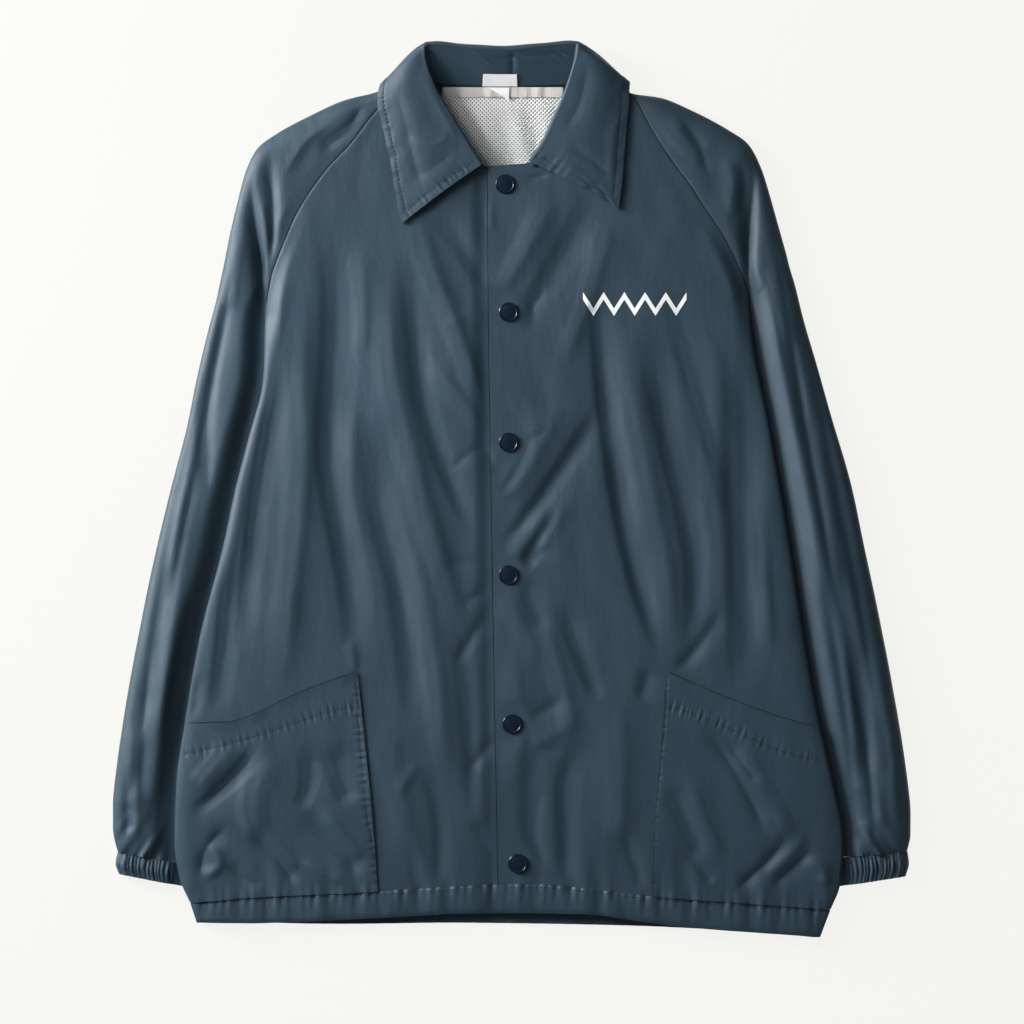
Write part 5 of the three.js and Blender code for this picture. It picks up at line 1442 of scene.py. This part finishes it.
# Flat cut of what shows of each sheet: width and length in metres, area in square metres, how it is
# held, and what it rests on.
SHEETS = {
    "cloth_back": (0.58, 0.72, 0.324, "laid", ("sleeve_right", "sleeve_left")),
    "cloth_front_right": (0.32, 0.72, 0.172, "laid", ("back",)),
    "cloth_front_left": (0.31, 0.72, 0.166, "laid", ("front_right", "back")),
    "cloth_sleeve_right": (0.29, 0.76, 0.139, "laid", ()),
    "cloth_sleeve_left": (0.29, 0.76, 0.139, "laid", ()),
    "cloth_collar": (0.50, 0.10, 0.034, "folded", ("front_right", "front_left")),
    "cloth_pocket_right": (0.165, 0.21, 0.0278, "laid", ("front_right",)),
    "cloth_pocket_left": (0.165, 0.21, 0.0268, "laid", ("front_left",)),
    "cloth_hem_front_right": (0.32, 0.026, 0.0078, "gathered", ()),
    "cloth_hem_front_left": (0.32, 0.026, 0.0078, "gathered", ()),
    "cloth_hem_back": (0.56, 0.022, 0.0115, "gathered", ()),
    "cloth_cuff_right": (0.165, 0.026, 0.0034, "gathered", ()),
    "cloth_cuff_left": (0.165, 0.026, 0.0042, "gathered", ()),
    "cloth_lining": (0.147, 0.111, 0.0142, "laid", ("back",)),
    "cloth_neck_tape": (0.105, 0.010, None, "laid", ("lining_back",)),
    "cloth_label": (0.029, 0.0135, None, "laid", ("collar",)),
    "cloth_label_tab": (0.018, 0.010, 0.00009, "folded", ("neck_tape",)),
}


# Stage
PHOTO_AIM = (0.0, -0.0198)
CAMERA_HEIGHT = 3.314
SENSOR_WIDTH = 36.0
CLIP_END = 20.0


# Lights of the stage: place, width, length, setting that gives the power, and colour.
LIGHTS = {
    "key_light": ((-1.75, 0.75, 0.72), 0.5, 1.1, "key_energy", (1.0, 1.0, 1.0)),
    "fill_light": ((1.6, -1.4, 1.9), 1.6, 1.6, "fill_energy", (0.92, 0.96, 1.0)),
    "top_light": ((-1.6, 1.2, 2.2), 1.0, 1.0, "top_energy", (1.0, 1.0, 1.0)),
}
AIR_COLOR = (0.93, 0.96, 1.0, 1.0)
FLOOR_HALF = 3.0
FLOOR_Z = -0.0003


def link_new(name, data, place):
    item = bpy.data.objects.new(name, data)
    item.location = place
    bpy.context.collection.objects.link(item)
    return item


def area_light(name, place, width, length, energy, color):
    light = bpy.data.lights.new(name, "AREA")
    light.shape = "RECTANGLE"
    light.size = width
    light.size_y = length
    light.energy = energy
    light.color = color
    item = link_new(name, light, place)
    item.rotation_euler = (-Vector(place)).to_track_quat("-Z", "Y").to_euler()


def floor_material(color, glow):
    material, tree, surface = new_material("Paper sweep")
    tone = ramp(tree, noise(tree, object_place(tree), 2.0), color, (0.995, 1), (0.2, 0.8))
    fill_inputs(tree, surface, {"Base Color": tone, "Emission Color": tone, "Emission Strength": glow,
                                "Roughness": 1.0})
    return material


def make_stage():
    scene = bpy.context.scene
    look = scene.windbreaker_stage
    bm = bmesh.new()
    bmesh.ops.create_grid(bm, x_segments=1, y_segments=1, size=FLOOR_HALF)
    bmesh.ops.translate(bm, verts=bm.verts, vec=(0, 0, FLOOR_Z))
    add_piece("stage_floor", bm, floor_material(tuple(look.floor_color), look.floor_glow))

    for name, (place, width, length, setting, color) in LIGHTS.items():
        area_light(name, place, width, length, getattr(look, setting), color)
    world = bpy.data.worlds.new("Studio air")
    world.use_nodes = True
    air = world.node_tree.nodes["Background"].inputs
    air["Color"].default_value = AIR_COLOR
    air["Strength"].default_value = look.air
    scene.world = world

    camera = bpy.data.cameras.new("photo_camera")
    camera.lens = look.lens
    camera.sensor_width = SENSOR_WIDTH
    camera.clip_end = CLIP_END
    scene.camera = link_new("photo_camera", camera, (*PHOTO_AIM, CAMERA_HEIGHT))
    scene.view_settings.view_transform = "Standard"


# Add-on

def color_setting(name, description, default):
    return bpy.props.FloatVectorProperty(name=name, description=description, subtype="COLOR", size=3,
                                         min=0.0, max=1.0, default=default)


def power_setting(name, description, default):
    return bpy.props.FloatProperty(name=name, description=description, subtype="POWER", unit="POWER",
                                   min=0.0, default=default)


class WindbreakerLooks(bpy.types.PropertyGroup):
    """Colours and gloss of the cloth and snaps"""
    cloth_color: color_setting("Cloth colour", "Base colour of the taffeta", (0.0215, 0.0435, 0.0630))
    cloth_roughness: bpy.props.FloatProperty(
        name="Cloth roughness", description="How widely the taffeta scatters its highlight",
        subtype="FACTOR", min=0.1, max=1.0, default=0.5)
    lining_color: color_setting("Lining colour", "Base colour of the mesh lining", (0.70, 0.70, 0.69))
    snap_color: color_setting("Snap colour", "Base colour of the snap caps", (0.004, 0.010, 0.020))


class WindbreakerStage(bpy.types.PropertyGroup):
    """Lights, floor and lens of the photo stage"""
    key_energy: power_setting("Key light", "Power of the light from the upper left", 112.0)
    fill_energy: power_setting("Fill light", "Power of the light from the lower right", 5.0)
    top_energy: power_setting("Top light", "Power of the light over the jacket", 22.0)
    air: bpy.props.FloatProperty(
        name="Surrounding light", description="Strength of the even light all around",
        min=0.0, default=0.12)
    floor_color: color_setting("Floor colour", "Colour of the paper under the jacket",
                               (0.030, 0.0299, 0.0288))
    floor_glow: bpy.props.FloatProperty(
        name="Floor glow", description="Light that the paper gives off, as a lit table does",
        min=0.0, default=29.2)
    lens: bpy.props.FloatProperty(
        name="Lens", description="Focal length of the camera", unit="CAMERA",
        min=20.0, max=400.0, default=135.0)


class PieceOperator:
    """What the operators of the pieces have in common"""
    bl_options = {"REGISTER", "UNDO"}
    makers = ()

    def execute(self, context):
        before = len(bpy.data.objects)
        for maker in self.makers:
            maker()
        if len(bpy.data.objects) == before:
            raise RuntimeError(self.bl_label + " made nothing")
        return {"FINISHED"}


class WINDBREAKER_OT_back(PieceOperator, bpy.types.Operator):
    """Makes the back panel"""
    bl_idname = "windbreaker.back"
    bl_label = "Back"
    makers = (make_back,)


class WINDBREAKER_OT_fronts(PieceOperator, bpy.types.Operator):
    """Makes the two fronts, the left one over the right"""
    bl_idname = "windbreaker.fronts"
    bl_label = "Fronts"
    makers = (make_fronts,)


class WINDBREAKER_OT_sleeves(PieceOperator, bpy.types.Operator):
    """Makes the two raglan sleeves, tucked under the body"""
    bl_idname = "windbreaker.sleeves"
    bl_label = "Sleeves"
    makers = (make_sleeves,)


class WINDBREAKER_OT_collar(PieceOperator, bpy.types.Operator):
    """Makes the collar's stand, roll and leaf"""
    bl_idname = "windbreaker.collar"
    bl_label = "Collar"
    makers = (make_collar,)


class WINDBREAKER_OT_pockets(PieceOperator, bpy.types.Operator):
    """Makes the two slanted patch pockets"""
    bl_idname = "windbreaker.pockets"
    bl_label = "Pockets"
    makers = (make_pockets,)


class WINDBREAKER_OT_gathers(PieceOperator, bpy.types.Operator):
    """Makes the gathered hem casings and cuffs"""
    bl_idname = "windbreaker.gathers"
    bl_label = "Hem and cuffs"
    makers = (make_hems, make_cuffs)


class WINDBREAKER_OT_neck(PieceOperator, bpy.types.Operator):
    """Makes the mesh lining, neck tape and blank labels"""
    bl_idname = "windbreaker.neck"
    bl_label = "Inside of the neck"
    makers = (make_lining, make_neck_tape, make_label, make_label_tab)


class WINDBREAKER_OT_trims(PieceOperator, bpy.types.Operator):
    """Makes the snap caps, stitches, the dark painted shadow lines at the seams and the chest ornament"""
    bl_idname = "windbreaker.trims"
    bl_label = "Snaps and stitches"
    makers = (make_snaps, make_stitches, make_ornament)


class WINDBREAKER_OT_sheets(bpy.types.Operator):
    """Raises an error unless every sheet of cloth in the table of flat cuts has been made"""
    bl_idname = "windbreaker.sheets"
    bl_label = "Flat cuts"
    bl_options = {"REGISTER"}

    def execute(self, context):
        missing = [name for name in SHEETS if name not in bpy.data.objects]
        if missing:
            raise RuntimeError("sheets not made yet: " + ", ".join(missing))
        return {"FINISHED"}


class WINDBREAKER_OT_stage(PieceOperator, bpy.types.Operator):
    """Sets the floor, lights and camera"""
    bl_idname = "windbreaker.stage"
    bl_label = "Photo stage"
    makers = (make_stage,)


STEPS = (
    WINDBREAKER_OT_back, WINDBREAKER_OT_fronts, WINDBREAKER_OT_sleeves, WINDBREAKER_OT_collar,
    WINDBREAKER_OT_pockets, WINDBREAKER_OT_gathers, WINDBREAKER_OT_neck, WINDBREAKER_OT_trims,
    WINDBREAKER_OT_sheets, WINDBREAKER_OT_stage,
)


class VIEW3D_PT_windbreaker(bpy.types.Panel):
    """Lists the windbreaker's steps and settings"""
    bl_label = "Windbreaker"
    bl_space_type = "VIEW_3D"
    bl_region_type = "UI"
    bl_category = "Windbreaker"

    def draw(self, context):
        for group_name in ("windbreaker_looks", "windbreaker_stage"):
            box = self.layout.box()
            settings = getattr(context.scene, group_name)
            for name in settings.__annotations__:
                box.prop(settings, name)
        for step in STEPS:
            self.layout.operator(step.bl_idname)


CLASSES = (WindbreakerLooks, WindbreakerStage) + STEPS + (VIEW3D_PT_windbreaker,)


def register():
    for item in CLASSES:
        bpy.utils.register_class(item)
    bpy.types.Scene.windbreaker_looks = bpy.props.PointerProperty(type=WindbreakerLooks)
    bpy.types.Scene.windbreaker_stage = bpy.props.PointerProperty(type=WindbreakerStage)


def unregister():
    del bpy.types.Scene.windbreaker_stage
    del bpy.types.Scene.windbreaker_looks
    for item in reversed(CLASSES):
        bpy.utils.unregister_class(item)


def main():
    register()
    steps = bpy.ops.windbreaker
    steps.back()
    steps.fronts()
    steps.sleeves()
    steps.collar()
    steps.pockets()
    steps.gathers()
    steps.neck()
    steps.trims()
    steps.sheets()
    steps.stage()


if __name__ == "__main__":
    main()
